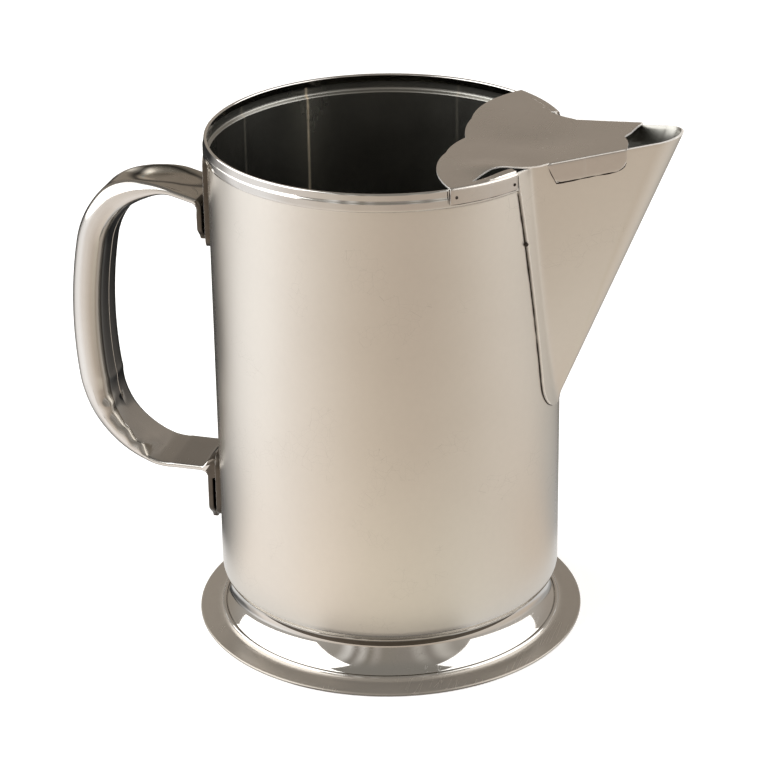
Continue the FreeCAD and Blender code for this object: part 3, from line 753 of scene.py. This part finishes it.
def guard_height(x, y):
    """The plate's top surface: level over the vessel, then climbing with the spout."""
    bend = 3 * MM
    ahead = x - LIP_START
    rise = 0.5 * (ahead + sqrt(ahead * ahead + bend * bend)) * LIP_SLOPE
    # the cut metal beside the near rim tab stands up a little, and the middle sags
    beside = hypot((x - 46.0 * MM) / (8 * MM), (abs(y) - 31.5 * MM) / (6.5 * MM))
    raised = 1.7 * MM * exp(-beside ** 2)
    if y > 0:
        raised = 0.0
    sag = 1.1 * MM * exp(-((x - 52 * MM) / (17 * MM)) ** 2 - (y / (11 * MM)) ** 2)
    droop = 0.7 * MM * exp(-((x - 30 * MM) / (7 * MM)) ** 2)
    return RIM + GUARD_LIFT + GUARD_SHEET + rise + raised - sag - droop * smooth(1 - abs(y) / (34 * MM))


def cut_along(bm, axis, start, end, step):
    """Cut every face along evenly spaced planes."""
    normal = Vector((1, 0, 0)) if axis == 0 else Vector((0, 1, 0))
    count = round((end - start) / step)
    for k in range(count + 1):
        value = start + step * k
        geometry = bm.verts[:] + bm.edges[:] + bm.faces[:]
        bmesh.ops.bisect_plane(bm, geom=geometry, plane_co=normal * value, plane_no=normal, dist=1e-7)


def filled_outline(points):
    """A flat face inside a closed outline."""
    bm = bmesh.new()
    ring = [bm.verts.new((x, y, 0.0)) for x, y in points]
    edges = [bm.edges.new((ring[k - 1], ring[k])) for k in range(len(ring))]
    bmesh.ops.triangle_fill(bm, use_beauty=True, use_dissolve=False, edges=edges)
    return bm


def fold_down(bm, chain, column):
    """Grow a folded tab from an ordered chain of edge vertices; column(vertex) gives the points below it."""
    before = None
    for vertex in chain:
        line = [vertex] + [bm.verts.new(point) for point in column(vertex.co)]
        if before is not None:
            for k in range(len(line) - 1):
                bm.faces.new((before[k], line[k], line[k + 1], before[k + 1]))
        before = line


def folded_tab(start, outward, down, rows):
    """Points round a right-angled fold from start, then down the tab."""
    turns = [radians(angle) for angle in spread(0, 90, 6, 1)]
    points = [start + (outward * sin(turn) + Vector((0, 0, cos(turn) - 1))) * TAB_FOLD for turn in turns]
    return points + [points[-1] + down * (k / rows) for k in range(1, rows + 1)]


def build_guard():
    """The strainer plate with its rim tabs and side tabs."""
    # the far slot is pinched nearly shut; the near one gapes
    half = guard_outline(0.2 * MM, -51 * MM, [(-1.2, 9.0), (-1.6, 7.0), (-2.1, 4.0), (-3.1, 1.2)])
    near_half = guard_outline(1.5 * MM, 22 * MM, [(-0.9, 7.4), (-1.7, 4.6), (-3.0, 1.6)])
    mirror = [(x, -y) for x, y in reversed(near_half[1:-1])]
    bm = filled_outline(half + mirror)
    cut_along(bm, 0, 28 * MM, 87 * MM, 2 * MM)
    cut_along(bm, 1, -50 * MM, 50 * MM, 2 * MM)
    edge = TAB_RADIUS - TAB_FOLD
    near = 0.05 * MM
    rim_chains, side_chains = [], []
    for sign in (1, -1):
        rim_chain = [
            v for v in bm.verts
            if abs(hypot(v.co.x, v.co.y) - edge) < near
            and RIM_TAB_INNER - 0.05 < degrees(atan2(v.co.y * sign, v.co.x)) < RIM_TAB_OUTER + 0.05
        ]
        rim_chain.sort(key=lambda v: atan2(v.co.y * sign, v.co.x))
        rim_chains.append(rim_chain)
        side_chain = [
            v for v in bm.verts
            if v.co.x > 64 * MM - near and v.co.y * sign > 10 * MM
            and abs(abs(v.co.y) - guard_side(v.co.x)) < near
        ]
        side_chain.sort(key=lambda v: v.co.x)
        side_chains.append(side_chain)
    for v in bm.verts:
        v.co.z = guard_height(v.co.x, v.co.y)

    def rim_column(co):
        start = Vector((co.x, co.y, RIM + GUARD_LIFT + GUARD_SHEET))
        drop = RIM_TAB_DROP + GUARD_SHEET + GUARD_LIFT - TAB_FOLD
        return folded_tab(start, Vector((co.x, co.y, 0)).normalized(), Vector((0, 0, -drop)), 5)

    def side_column(co):
        sign = 1 if co.y > 0 else -1
        down = Vector((0, -SIDE_LEAN * sign, -1)) * side_tab_drop(co.x)
        return folded_tab(co, Vector((0, sign, 0)), down, 6)

    for chain in rim_chains:
        fold_down(bm, chain, rim_column)
    for chain in side_chains:
        fold_down(bm, chain, side_column)

    piece = sheet_object("guard", bm, (GUARD, EDGE_HIGHLIGHT), GUARD_SHEET, lambda point: Vector((0, 0, 1)))
    # the cut rim of the sheet takes the edge steel's painted highlight
    piece.modifiers["sheet"].material_offset_rim = 1
    return piece


def side_tab_path(sign, below, out):
    """Round a side tab's edge: down its slanted back end, along its foot and up its rounded front."""
    back, corner, front = 64.0 * MM, 66.4 * MM, GUARD_FRONT - 0.2 * MM
    path = [side_tab_foot(x, sign, below) for x in spread(back, corner, 8) + spread(corner, front, 34, 1)]
    for point in path:
        point.y += sign * out
    return path


def build_guard_shadow_lines():
    """The dark line round each side tab and rim tab, a painted shadow where the tab meets the sheet below it,
    and the small spot welds that hold them.
    """
    bm = bmesh.new()
    low = RIM - RIM_TAB_DROP
    for sign in (1, -1):
        bead(bm, side_tab_path(sign, 0.45 * MM, 0.0), 0.26 * MM, 5 + sign)
        for x, above, radius in ((65.6, 3.2, 0.55), (67.2, 0.4, 0.5), (78.0, 0.2, 0.6)):
            spot = side_tab_foot(x * MM, sign, 0.0)
            spot.z += above * MM
            blob(bm, spot, radius * MM)
        for angle, past in ((RIM_TAB_OUTER, 0.35), (RIM_TAB_INNER, -0.35)):
            x, y = polar(TAB_RADIUS - GUARD_SHEET * 0.4, angle + past)
            line = [Vector((x, sign * y, z)) for z in spread(RIM - 0.3 * MM, low, 6)]
            bead(bm, line, 0.3 * MM, angle)
        for angle, above in ((RIM_TAB_OUTER - 1.9, 2.3 * MM), (RIM_TAB_INNER + 1.3, 2.0 * MM)):
            x, y = polar(TAB_RADIUS - 0.1 * MM, angle)
            blob(bm, Vector((x, sign * y, low + above)), 0.55 * MM)
        middle = TAB_RADIUS - GUARD_SHEET * 0.5
        foot = [polar(middle, angle) for angle in spread(RIM_TAB_OUTER, RIM_TAB_INNER, 24)]
        bead(bm, [Vector((x, sign * y, low - 0.15 * MM)) for x, y in foot], 0.16 * MM, 11)
    return add_object("guard_painted_shadows_and_welds", bm, WELD_AND_SHADOW)


def build_guard_highlights():
    """Painted highlights on the guard: bright lines along its folds and round the outlines of its side tabs.
    """
    bm = bmesh.new()
    for sign in (1, -1):
        bead(bm, side_tab_path(sign, -0.05 * MM, 0.12 * MM), 0.17 * MM, 21, 0.25)
        fold = []
        for x in spread(64.6 * MM, GUARD_FRONT - 0.3 * MM, 29):
            y = guard_side(x) + TAB_FOLD * 0.72
            fold.append(Vector((x, sign * y, guard_height(x, guard_side(x)) - TAB_FOLD * 0.32)))
        bead(bm, fold, 0.2 * MM, 23, 0.25)
    return add_object("guard_painted_highlights", bm, EDGE_HIGHLIGHT)


# ---- handle

GRIP_WIDTH, GRIP_THICK, GRIP_ROUND = 22.4 * MM, 11.5 * MM, 5.4 * MM
TAB_WIDTH, TAB_THICK = handle_high.y - handle_low.y, 2.0 * MM
PAD_SHEET = 2.2 * MM
PAD_FACE = WALL_RADIUS + 0.1 * MM + PAD_SHEET
FLANGE_ROUND = 0.55 * MM
FOLD = 2.6 * MM
LOWER_BEND = (-80.9 * MM, 88.1 * MM, 31.0 * MM)
LOWER_TAB_TOP, UPPER_TAB_TOP = 53.5 * MM, 161.9 * MM
# headings along the handle, in degrees
BEND_END, GRIP_END, SHOULDER_END, CREST, UPPER_SLOPE = 96.9, 79.1, 45.0, 14.0, 15.0
DIMPLE_START, DIMPLE_END, DIMPLE_DEPTH = -99 * MM, -66 * MM, 2.4 * MM
PAD_SIDE = -(PAD_FACE + TAB_THICK + 0.2 * MM)


def heading_vector(degrees):
    return Vector((cos(radians(degrees)), sin(radians(degrees))))


def right_of(degrees):
    """The unit vector to the right of a heading."""
    return Vector((sin(radians(degrees)), -cos(radians(degrees))))


def bend_stations(start, heading, radius, end_heading, steps):
    """Points of a clockwise bend of the centre line, with their headings."""
    centre = start + right_of(heading) * radius
    return [(centre - right_of(now) * radius, now) for now in spread(heading, end_heading, steps, 1)]


def spline_stations(start, start_heading, end, end_heading, steps):
    """A smooth stretch between two points with given headings."""
    reach = (end - start).length
    a, b = heading_vector(start_heading) * reach, heading_vector(end_heading) * reach
    stations = []
    for t in spread(0, 1, steps, 1):
        point = (
            start * (2 * t ** 3 - 3 * t ** 2 + 1) + a * (t ** 3 - 2 * t ** 2 + t)
            + end * (3 * t ** 2 - 2 * t ** 3) + b * (t ** 3 - t ** 2)
        )
        slope = (
            start * (6 * t * t - 6 * t) + a * (3 * t * t - 4 * t + 1)
            + end * (6 * t - 6 * t * t) + b * (3 * t * t - 2 * t)
        )
        stations.append((point, degrees(atan2(slope.y, slope.x))))
    return stations


CLOSE_START, CLOSE_END, CLOSE_BOW = 170.0, 104.0, 7.0


def lower_thickness(heading, step=0.12):
    """The strip's thickness round the lower bend, where the hollow grip closes onto the flat tab."""
    opened = min(max((CLOSE_START - heading) / (CLOSE_START - CLOSE_END), 0.0), 1.0)
    share = step * smooth(opened / 0.12) * (1 - opened) + opened
    return mix(TAB_THICK, GRIP_THICK, min(share, 1.0))


def handle_stations():
    """The whole strip from the lower flange to the upper one: (point, heading, width, thickness, round)."""
    flat = (TAB_WIDTH, TAB_THICK, 0.9 * MM)
    full = (GRIP_WIDTH, GRIP_THICK, GRIP_ROUND)
    centre_x = -(PAD_FACE + TAB_THICK / 2)
    radius = FOLD + TAB_THICK / 2
    low_z = handle_low.z + 1.6 * MM
    level = LOWER_TAB_TOP - TAB_THICK / 2
    stations = []
    end_taper = 6 * MM
    fold_start = level - radius
    for z in spread(low_z, fold_start, 14):
        narrow = 1 - smooth((z - low_z) / end_taper)
        stations.append((Vector((centre_x, z)), 90.0, TAB_WIDTH - 9 * MM * narrow, TAB_THICK, FLANGE_ROUND))
    fold_centre = Vector((centre_x - radius, fold_start))
    stations += [(fold_centre + right_of(turn) * radius, turn) + flat for turn in spread(90, 180, 8, 1)]
    bend_x, bend_z, bend_radius = LOWER_BEND
    start = Vector((bend_x, level))
    first = stations[-1][0]
    stations += [(first.lerp(start, t), 180.0) + flat for t in spread(0, 1, 8, 1)]
    # the underside follows one arc; the inner side closes down on it towards the tab
    under = bend_radius + GRIP_THICK / 2
    for heading in spread(180.0, BEND_END, 44, 1):
        thick = lower_thickness(heading)
        width = mix(TAB_WIDTH, GRIP_WIDTH, smooth((178 - heading) / 50))
        corner = min(GRIP_ROUND, 0.49 * thick)
        point = Vector((bend_x, bend_z)) - right_of(heading) * (under - thick / 2)
        stations.append((point, heading, width, thick, corner))
    grip = bend_stations(stations[-1][0], BEND_END, 169.7 * MM, GRIP_END, 22)
    grip += bend_stations(grip[-1][0], GRIP_END, 32.9 * MM, SHOULDER_END, 14)
    stations += [(point, heading) + full for point, heading in grip]
    middle = Vector((-88.0 * MM, 160.2 * MM))
    tab_start = Vector((-76.0 * MM, UPPER_TAB_TOP - TAB_THICK / 2))
    upper = spline_stations(grip[-1][0], SHOULDER_END, middle, CREST, 12)
    upper += spline_stations(middle, CREST, tab_start, -UPPER_SLOPE, 12)
    count = len(upper)
    for k, (point, heading) in enumerate(upper, start=1):
        t = smooth(k / count) * 0.5 + 0.5 * k / count
        size = [mix(a, b, t) for a, b in zip(full, flat)]
        stations.append((point, heading, *size))
    fold_heading = -UPPER_SLOPE
    turn = 90 - UPPER_SLOPE
    drop = radius * (1 - cos(radians(turn)))
    fall_x = radius * (1 - sin(radians(UPPER_SLOPE)))
    fold_x = centre_x - fall_x
    run = fold_x - tab_start.x
    fold_point = Vector((fold_x, tab_start.y - run * tan(radians(UPPER_SLOPE))))
    stations += [(tab_start.lerp(fold_point, t), fold_heading) + flat for t in spread(0, 1, 5, 1)]
    folded = bend_stations(fold_point, fold_heading, radius, -90.0, 8)
    stations += [(point, heading) + flat for point, heading in folded]
    last = folded[-1][0]
    upper_end = 143.5 * MM
    for z in spread(last.y, upper_end, 8, 1):
        narrow = 1 - smooth((z - upper_end) / (5 * MM))
        stations.append((Vector((centre_x, z)), -90.0, TAB_WIDTH - 7 * MM * narrow, TAB_THICK, FLANGE_ROUND))
    return stations


CROWN = [0.97, 0.91, 0.85, 0.79, 0.72, 0.64, 0.5, 0.3]
CORNER_POINTS = 9
FIRST_CROWN = 2 * CORNER_POINTS


def section_points(width, thick, corner, groove, dish):
    """The strip's section as (across, outward) points: a seam groove inside, a dish outside."""
    half_w, half_t = width / 2, thick / 2
    corner = min(corner, half_t * 0.98)
    points = []
    corners = [
        ((half_w - corner, corner - half_t), -90, 0),
        ((half_w - corner, half_t - corner), 0, 90),
        ((corner - half_w, half_t - corner), 90, 180),
        ((corner - half_w, corner - half_t), 180, 270),
    ]
    for centre, first, last in corners:
        points += arc_points(centre, corner, first, last, 8)
        if last == 90:
            points += [
                ((half_w - corner) * share, half_t - dish * smooth((0.94 - abs(share)) / 0.30))
                for share in CROWN + [0.0] + [-share for share in reversed(CROWN)]
            ]
    seam = 0.3 * MM
    points += [
        (-(half_w - corner) * 0.5, -half_t),
        (-seam, -half_t),
        (-seam * 0.5, -half_t + groove),
        (seam * 0.5, -half_t + groove),
        (seam, -half_t),
        ((half_w - corner) * 0.5, -half_t),
    ]
    return points


def build_handle():
    """The grip and its flattened, folded ends as one sweep."""
    rows = []
    for point, heading, width, thick, corner in handle_stations():
        outward = -right_of(heading)
        groove = 0.5 * MM * smooth((thick - 8 * MM) / (3 * MM))
        dish = 0.0
        if point.y > 150 * MM:
            along = (point.x - DIMPLE_START) / (DIMPLE_END - DIMPLE_START)
            if 0 < along < 1:
                dish = DIMPLE_DEPTH * smooth(along * 4.5) * smooth((1 - along) * 1.3)
        row = []
        for across, out in section_points(width, thick, corner, groove, dish):
            if out < 0 and BEND_END < heading < 180 and point.y < 100 * MM:
                share = min(abs(across) / (width / 2), 1.0)
                near_side = smooth(0.5 - across / width)
                local = lower_thickness(heading + CLOSE_BOW * near_side * share * share, 0.3 * near_side)
                out = thick / 2 - (thick / 2 - out) * local / thick
                wave = sin(radians(heading * 17)) + 0.6 * sin(radians(heading * 29))
                pinched = smooth((share - 0.4) / 0.35) * smooth((heading - 108) / 14)
                pinched *= smooth((176 - heading) / 14)
                out += 0.4 * MM * wave * pinched * near_side
            row.append(Vector((point.x + outward.x * out, across, point.y + outward.y * out)))
        rows.append(row)
    bm = bmesh.new()
    grid = add_grid(bm, rows, close_columns=True)
    columns = len(rows[0])
    faces = bm.faces[:]
    for k, row in enumerate(rows[:-1]):
        # the top of the scoop takes the scoop steel, with its painted shade and highlight
        if row[0].z > 140 * MM and DIMPLE_START < row[0].x < DIMPLE_END:
            for c in range(FIRST_CROWN, FIRST_CROWN + 2 * len(CROWN)):
                faces[k * columns + c].material_index = 2
    bm.faces.new(grid[0])
    bm.faces.new(grid[-1])
    piece = add_object("handle_grip", bm, GRIP, CREVICE_SHADE, SCOOP)
    for polygon in piece.data.polygons:
        middle = polygon.center
        # painted shade: the side faces of the flattened ends next to the pads take the dark crevice steel
        if middle.x > PAD_SIDE and abs(middle.y) > TAB_WIDTH / 2 - 6 * MM and abs(polygon.normal.x) < 0.9:
            polygon.material_index = 1
    sharpen(piece, 50)
    return piece


# ---- pads

def build_pad(name, node, trim=0.0):
    """A thin doubler plate, curved to the vessel; trim takes a little off its lower end."""
    low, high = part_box(node)
    low.z += trim
    half = high.y
    corner = 5 * MM
    middle_z = (low.z + high.z) / 2
    half_z = (high.z - low.z) / 2
    points = []
    for cx, cz, first in ((1, 1, 0), (-1, 1, 90), (-1, -1, 180), (1, -1, 270)):
        centre = (cx * (half - corner), cz * (half_z - corner))
        points += arc_points(centre, corner, first, first + 90, 8)
    bm = filled_outline(points)
    cut_along(bm, 0, -12 * MM, 12 * MM, 1.5 * MM)
    face = WALL_RADIUS + 0.05 * MM + PAD_SHEET
    for v in bm.verts:
        across, up = v.co.x, v.co.y
        v.co = Vector((-sqrt(face ** 2 - across ** 2), across, middle_z + up))

    materials = (GRIP, EDGE_HIGHLIGHT, CREVICE_SHADE)
    piece = sheet_object(name, bm, materials, PAD_SHEET, lambda point: Vector((-1, 0, 0)), 0.3 * MM)
    # painted shade: the pads' rims take the dark crevice steel
    piece.modifiers["sheet"].material_offset_rim = 2
    return piece


# ---- welds, and the painted highlight along the spout flange's edge

def bead(bm, path, radius, seed, rough=1.0):
    """A thin line of metal along a path; rough is how uneven it is."""
    sides = 7
    rings = []
    count = len(path)
    for k, point in enumerate(path):
        ahead = path[min(k + 1, count - 1)] - path[max(k - 1, 0)]
        ahead.normalize()
        side = ahead.cross(Vector((0, 0, 1)) if abs(ahead.z) < 0.9 else Vector((1, 0, 0))).normalized()
        rise = ahead.cross(side)
        swell = 1 + 1.1 * rough * noise.noise(point * 260 + Vector((seed, 0, 0)))
        wander = Vector((0, noise.noise(point * 150 + Vector((9, seed, 0))), 0)) * radius * 1.8 * rough
        size = max(radius * swell, radius * 0.3)
        if k in (0, count - 1):
            size = radius * 0.15
        turns = [TAU * j / sides for j in range(sides)]
        rings.append([point + wander + (side * cos(turn) + rise * sin(turn)) * size for turn in turns])
    grid = add_grid(bm, rings, close_columns=True)
    bm.faces.new(grid[0])
    bm.faces.new(grid[-1])


def blob(bm, centre, radius):
    """A small lump of weld metal."""
    made = bmesh.ops.create_icosphere(bm, subdivisions=2, radius=radius, matrix=Matrix.Translation(centre))
    for v in made["verts"]:
        v.co = centre + (v.co - centre) * (1 + 0.5 * noise.noise(v.co * 700))


def on_wall(y, z, lift=0.0):
    radius = WALL_RADIUS + lift
    return Vector((sqrt(radius ** 2 - y * y), y, z))


def build_spout_weld():
    """The seam round the edge of the spout's flange."""
    bm = bmesh.new()
    heights = tongue_heights(2, 4)
    heights += spread(heights[-1], BAND_FOOT - 0.6 * MM, 70, 1)
    half = [(flange_half_width(z) + 0.12 * MM, z) for z in heights]
    path = [on_wall(y, z, 0.15 * MM) for y, z in reversed(half)]
    path += [on_wall(-y, z, 0.15 * MM) for y, z in half]
    bead(bm, path, 0.16 * MM, 3, 0.8)
    for side, z, radius in ((-1, 159.5 * MM, 0.8 * MM), (1, 150 * MM, 0.8 * MM)):
        blob(bm, on_wall(side * flange_half_width(z), z, SHEET / 2), radius)
    return add_object("spout_weld", bm, WELD_AND_SHADOW)


def build_flange_highlight():
    """A painted highlight: a bright line along the cut edge of the spout's flange, just inside the seam."""
    bm = bmesh.new()
    heights = spread(FLANGE_FOOT + 2 * MM, BAND_FOOT - 0.6 * MM, 80)
    for side in (-1, 1):
        inset = 0.32 * MM
        line = [on_wall(side * (flange_half_width(z) - inset), z, 0.05 * MM + SHEET) for z in heights]
        bead(bm, line, 0.12 * MM, 31, 0.3)
    return add_object("flange_painted_highlight", bm, EDGE_HIGHLIGHT)


# ---- pieces

# each piece with its material slot, and the CAD node it stands for, if any
PIECES = [
    (build_vessel(), "satin_steel", "vessel_body"),
    (build_foot(), "polished_steel", "foot_ring"),
    (build_spout(), "satin_steel", "spout"),
    (build_guard(), "guard_steel", "ice_guard"),
    (build_handle(), "polished_steel", "handle"),
    (build_pad("upper_pad", "upper_handle_pad"), "polished_steel", "upper_handle_pad"),
    (build_pad("lower_pad", "lower_handle_pad", 2.0 * MM), "polished_steel", "lower_handle_pad"),
    (build_spout_weld(), "satin_steel", None),
    (build_guard_shadow_lines(), "guard_steel", None),
    (build_guard_highlights(), "guard_steel", None),
    (build_flange_highlight(), "satin_steel", None),
]
for piece, slot, node in PIECES:
    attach(piece, BODY)
    if node:
        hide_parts(node)


# ---- studio

CAMERA_AZIMUTH = radians(15.97)
FRONT = Vector((sin(CAMERA_AZIMUTH), -cos(CAMERA_AZIMUTH), 0))
RIGHT = Vector((cos(CAMERA_AZIMUTH), sin(CAMERA_AZIMUTH), 0))

# painted reflection: the floor glows for the steel only, and these tones say how bright the steel sees it, by
# the way round from the camera's side, in degrees
FLOOR_FAR = [
    (-180, 0.02), (-138, 0.03), (-120, (0.38, 0.37, 0.36)), (-103, (0.84, 0.83, 0.83)),
    (-82, (0.88, 0.87, 0.87)), (-55, (0.70, 0.65, 0.61)), (-35, (0.62, 0.56, 0.50)),
    (-15, (0.53, 0.46, 0.39)), (15, (0.46, 0.39, 0.33)), (40, (0.48, 0.42, 0.36)), (65, (0.55, 0.50, 0.45)),
    (90, (0.58, 0.54, 0.50)), (120, (0.42, 0.40, 0.37)), (150, (0.15, 0.14, 0.13)), (180, 0.02),
]
FLOOR_BESIDE_BODY = [
    (-180, 0.02), (-125, 0.06), (-107, 0.12), (-97, (0.40, 0.38, 0.36)), (-85, (0.70, 0.65, 0.61)),
    (-65, (0.72, 0.68, 0.65)), (-35, (0.71, 0.64, 0.57)), (-5, (0.64, 0.585, 0.50)),
    (15, (0.60, 0.555, 0.475)), (40, (0.56, 0.53, 0.47)), (60, (0.52, 0.48, 0.43)),
    (90, (0.475, 0.41, 0.35)), (120, 0.30), (150, 0.10), (180, 0.02),
]
# close round the foot; the dark stretch in front is a painted shadow in the reflection
FLOOR_BESIDE_FOOT = [
    (-180, 0.03), (-135, 0.10), (-115, 0.55), (-36, 0.55), (-27, (0.15, 0.14, 0.13)),
    (27, (0.15, 0.14, 0.13)), (36, 0.50), (115, 0.50), (135, 0.10), (180, 0.03),
]
# and by the distance from the axis, in metres
FLOOR_SHADE = [(0.098, 0.92), (0.17, 0.86), (0.26, 0.80), (0.40, 0.75)]
FLOOR_GLOW = 1.75
# the room's walls, from the camera's left to its right; the front one has light stripes
WALL_BEHIND = [
    (-1.0, (0.55, 0.53, 0.50)), (-0.5, (0.38, 0.34, 0.29)), (0.0, (0.42, 0.365, 0.31)),
    (0.6, (0.46, 0.41, 0.36)), (1.0, (0.60, 0.57, 0.53)),
]
WALL_AHEAD = [
    (-1.0, (0.55, 0.53, 0.50)), (-0.62, (0.45, 0.42, 0.38)), (-0.50, (0.90, 0.88, 0.85)),
    (-0.42, (0.34, 0.31, 0.28)), (-0.34, (0.75, 0.72, 0.68)), (-0.25, (0.32, 0.29, 0.25)),
    (-0.17, (0.50, 0.46, 0.42)), (-0.08, (0.34, 0.31, 0.27)), (0.20, (0.34, 0.31, 0.28)),
    (0.32, (0.55, 0.52, 0.48)), (0.42, (0.36, 0.33, 0.30)), (0.55, (0.70, 0.67, 0.62)),
    (0.72, (0.45, 0.42, 0.38)), (1.0, (0.60, 0.57, 0.53)),
]
OVERHEAD = (0.29, 0.275, 0.25)


def floor_material():
    """Pale and plain to the eye, and clear from below; for the steel it glows with the tones above, a painted
    reflection.
    """
    material = bpy.data.materials.new("pale_floor")
    material.use_nodes = True
    tree = material.node_tree
    shader = tree.nodes["Principled BSDF"]
    plain = {"Base Color": (0.95, 0.95, 0.95, 1), "Roughness": 0.9, "Specular IOR Level": 0.0,
             "Emission Color": (1, 1, 1, 1), "Emission Strength": 0.35}
    for key, value in plain.items():
        shader.inputs[key].default_value = value
    geometry = add_node(tree, "NewGeometry").outputs
    place = geometry["Position"]
    way = math_node(tree, "ARCTAN2", dot_with(tree, place, RIGHT), dot_with(tree, place, FRONT)) * (180 / pi)
    reach = add_node(tree, "VectorMath", {0: place}, operation="LENGTH").outputs["Value"]
    rings = (FLOOR_FAR, FLOOR_BESIDE_BODY, FLOOR_BESIDE_FOOT)
    far, body, foot = [ramp(tree, way, tones, -180, 180) for tones in rings]
    seen = mix_colour(tree, ramp(tree, reach, [(0.12, 0.0), (0.27, 1.0)]), body, far)
    seen = mix_colour(tree, ramp(tree, reach, [(0.090, 0.0), (0.106, 1.0)]), foot, seen)
    strength = Value(tree, ramp(tree, reach, FLOOR_SHADE)) * FLOOR_GLOW
    glow = add_node(tree, "Emission", {"Color": seen, "Strength": strength}).outputs[0]
    to_camera = add_node(tree, "LightPath").outputs["Is Camera Ray"]
    shown = add_node(tree, "MixShader", {0: to_camera, 1: glow, 2: shader.outputs[0]}).outputs[0]
    clear = add_node(tree, "BsdfTransparent").outputs[0]
    below = add_node(tree, "MixShader", {0: geometry["Backfacing"], 1: shown, 2: clear})
    tree.links.new(below.outputs[0], tree.nodes["Material Output"].inputs["Surface"])
    return material


def build_floor():
    bm = bmesh.new()
    half, just_under = 6.0, -0.05 * MM
    corners = ((-half, -half), (half, -half), (half, half), (-half, half))
    bm.faces.new([bm.verts.new((x, y, just_under)) for x, y in corners])
    mesh = bpy.data.meshes.new("floor")
    bm.to_mesh(mesh)
    bm.free()
    mesh.materials.append(floor_material())
    place_object("floor", mesh)


def build_world():
    """A dim studio: warm grey in front and behind, brighter at the sides, dark overhead."""
    world = bpy.data.worlds.new("studio")
    bpy.context.scene.world = world
    world.use_nodes = True
    tree = world.node_tree
    direction = add_node(tree, "TexCoord").outputs["Generated"]
    side, front, up = [dot_with(tree, direction, way) for way in (RIGHT, FRONT, (0, 0, 1))]
    facing = ramp(tree, front, [(0.0, 0.0), (0.25, 1.0)], -1.0)
    level = mix_colour(tree, facing, ramp(tree, side, WALL_BEHIND, -1.0), ramp(tree, side, WALL_AHEAD, -1.0))
    height = ramp(tree, up, [(0.0, 0.0), (0.45, 0.15), (0.9, 1.0)], -1.0)
    colour = mix_colour(tree, height, level, OVERHEAD)
    to_camera = add_node(tree, "LightPath").outputs["Is Camera Ray"]
    background = tree.nodes["Background"]
    connect(tree, mix_colour(tree, to_camera, colour, (1.0, 1.0, 1.0)), background.inputs["Color"])
    background.inputs["Strength"].default_value = 1.0


def add_softbox(name, azimuth, distance, height, width, length, strength):
    """A rectangular light aimed at the pitcher; azimuth 0 is on the camera's side and 90 to its right."""
    light = bpy.data.lights.new(name, "AREA")
    light.shape = "RECTANGLE"
    light.size, light.size_y = width, length
    light.energy = strength * width * length
    lamp = place_object(name, light)
    turn = radians(azimuth) + CAMERA_AZIMUTH
    lamp.location = (distance * sin(turn), -distance * cos(turn), height)
    lamp.rotation_mode = "QUATERNION"
    lamp.rotation_quaternion = (Vector((0, 0, 0.1)) - lamp.location).to_track_quat("-Z", "Y")
    lamp.visible_camera = False


def build_camera():
    elevation, roll = radians(24.70), radians(-0.82)
    distance = 1.0268
    aim = Vector((-1.0, -0.3, 88.9)) * MM
    back = FRONT * cos(elevation) + Vector((0, 0, sin(elevation)))
    data = bpy.data.cameras.new("camera")
    data.lens = 132.1
    data.sensor_width = 36
    data.shift_x, data.shift_y = -0.0013, 0.0013
    data.clip_start = 0.05
    camera = place_object("camera", data)
    camera.location = aim + back * distance
    camera.rotation_mode = "QUATERNION"
    tilt = Matrix.Rotation(roll, 3, "Z").to_quaternion()
    camera.rotation_quaternion = (-back).to_track_quat("-Z", "Y") @ tilt
    bpy.context.scene.camera = camera


build_floor()
build_world()
add_softbox("softbox_left", -88, 0.85, 0.60, 1.5, 1.1, 8.5)
add_softbox("softbox_right", 85, 0.85, 0.60, 1.2, 1.1, 6.0)
build_camera()
bpy.context.scene.view_settings.view_transform = "Standard"
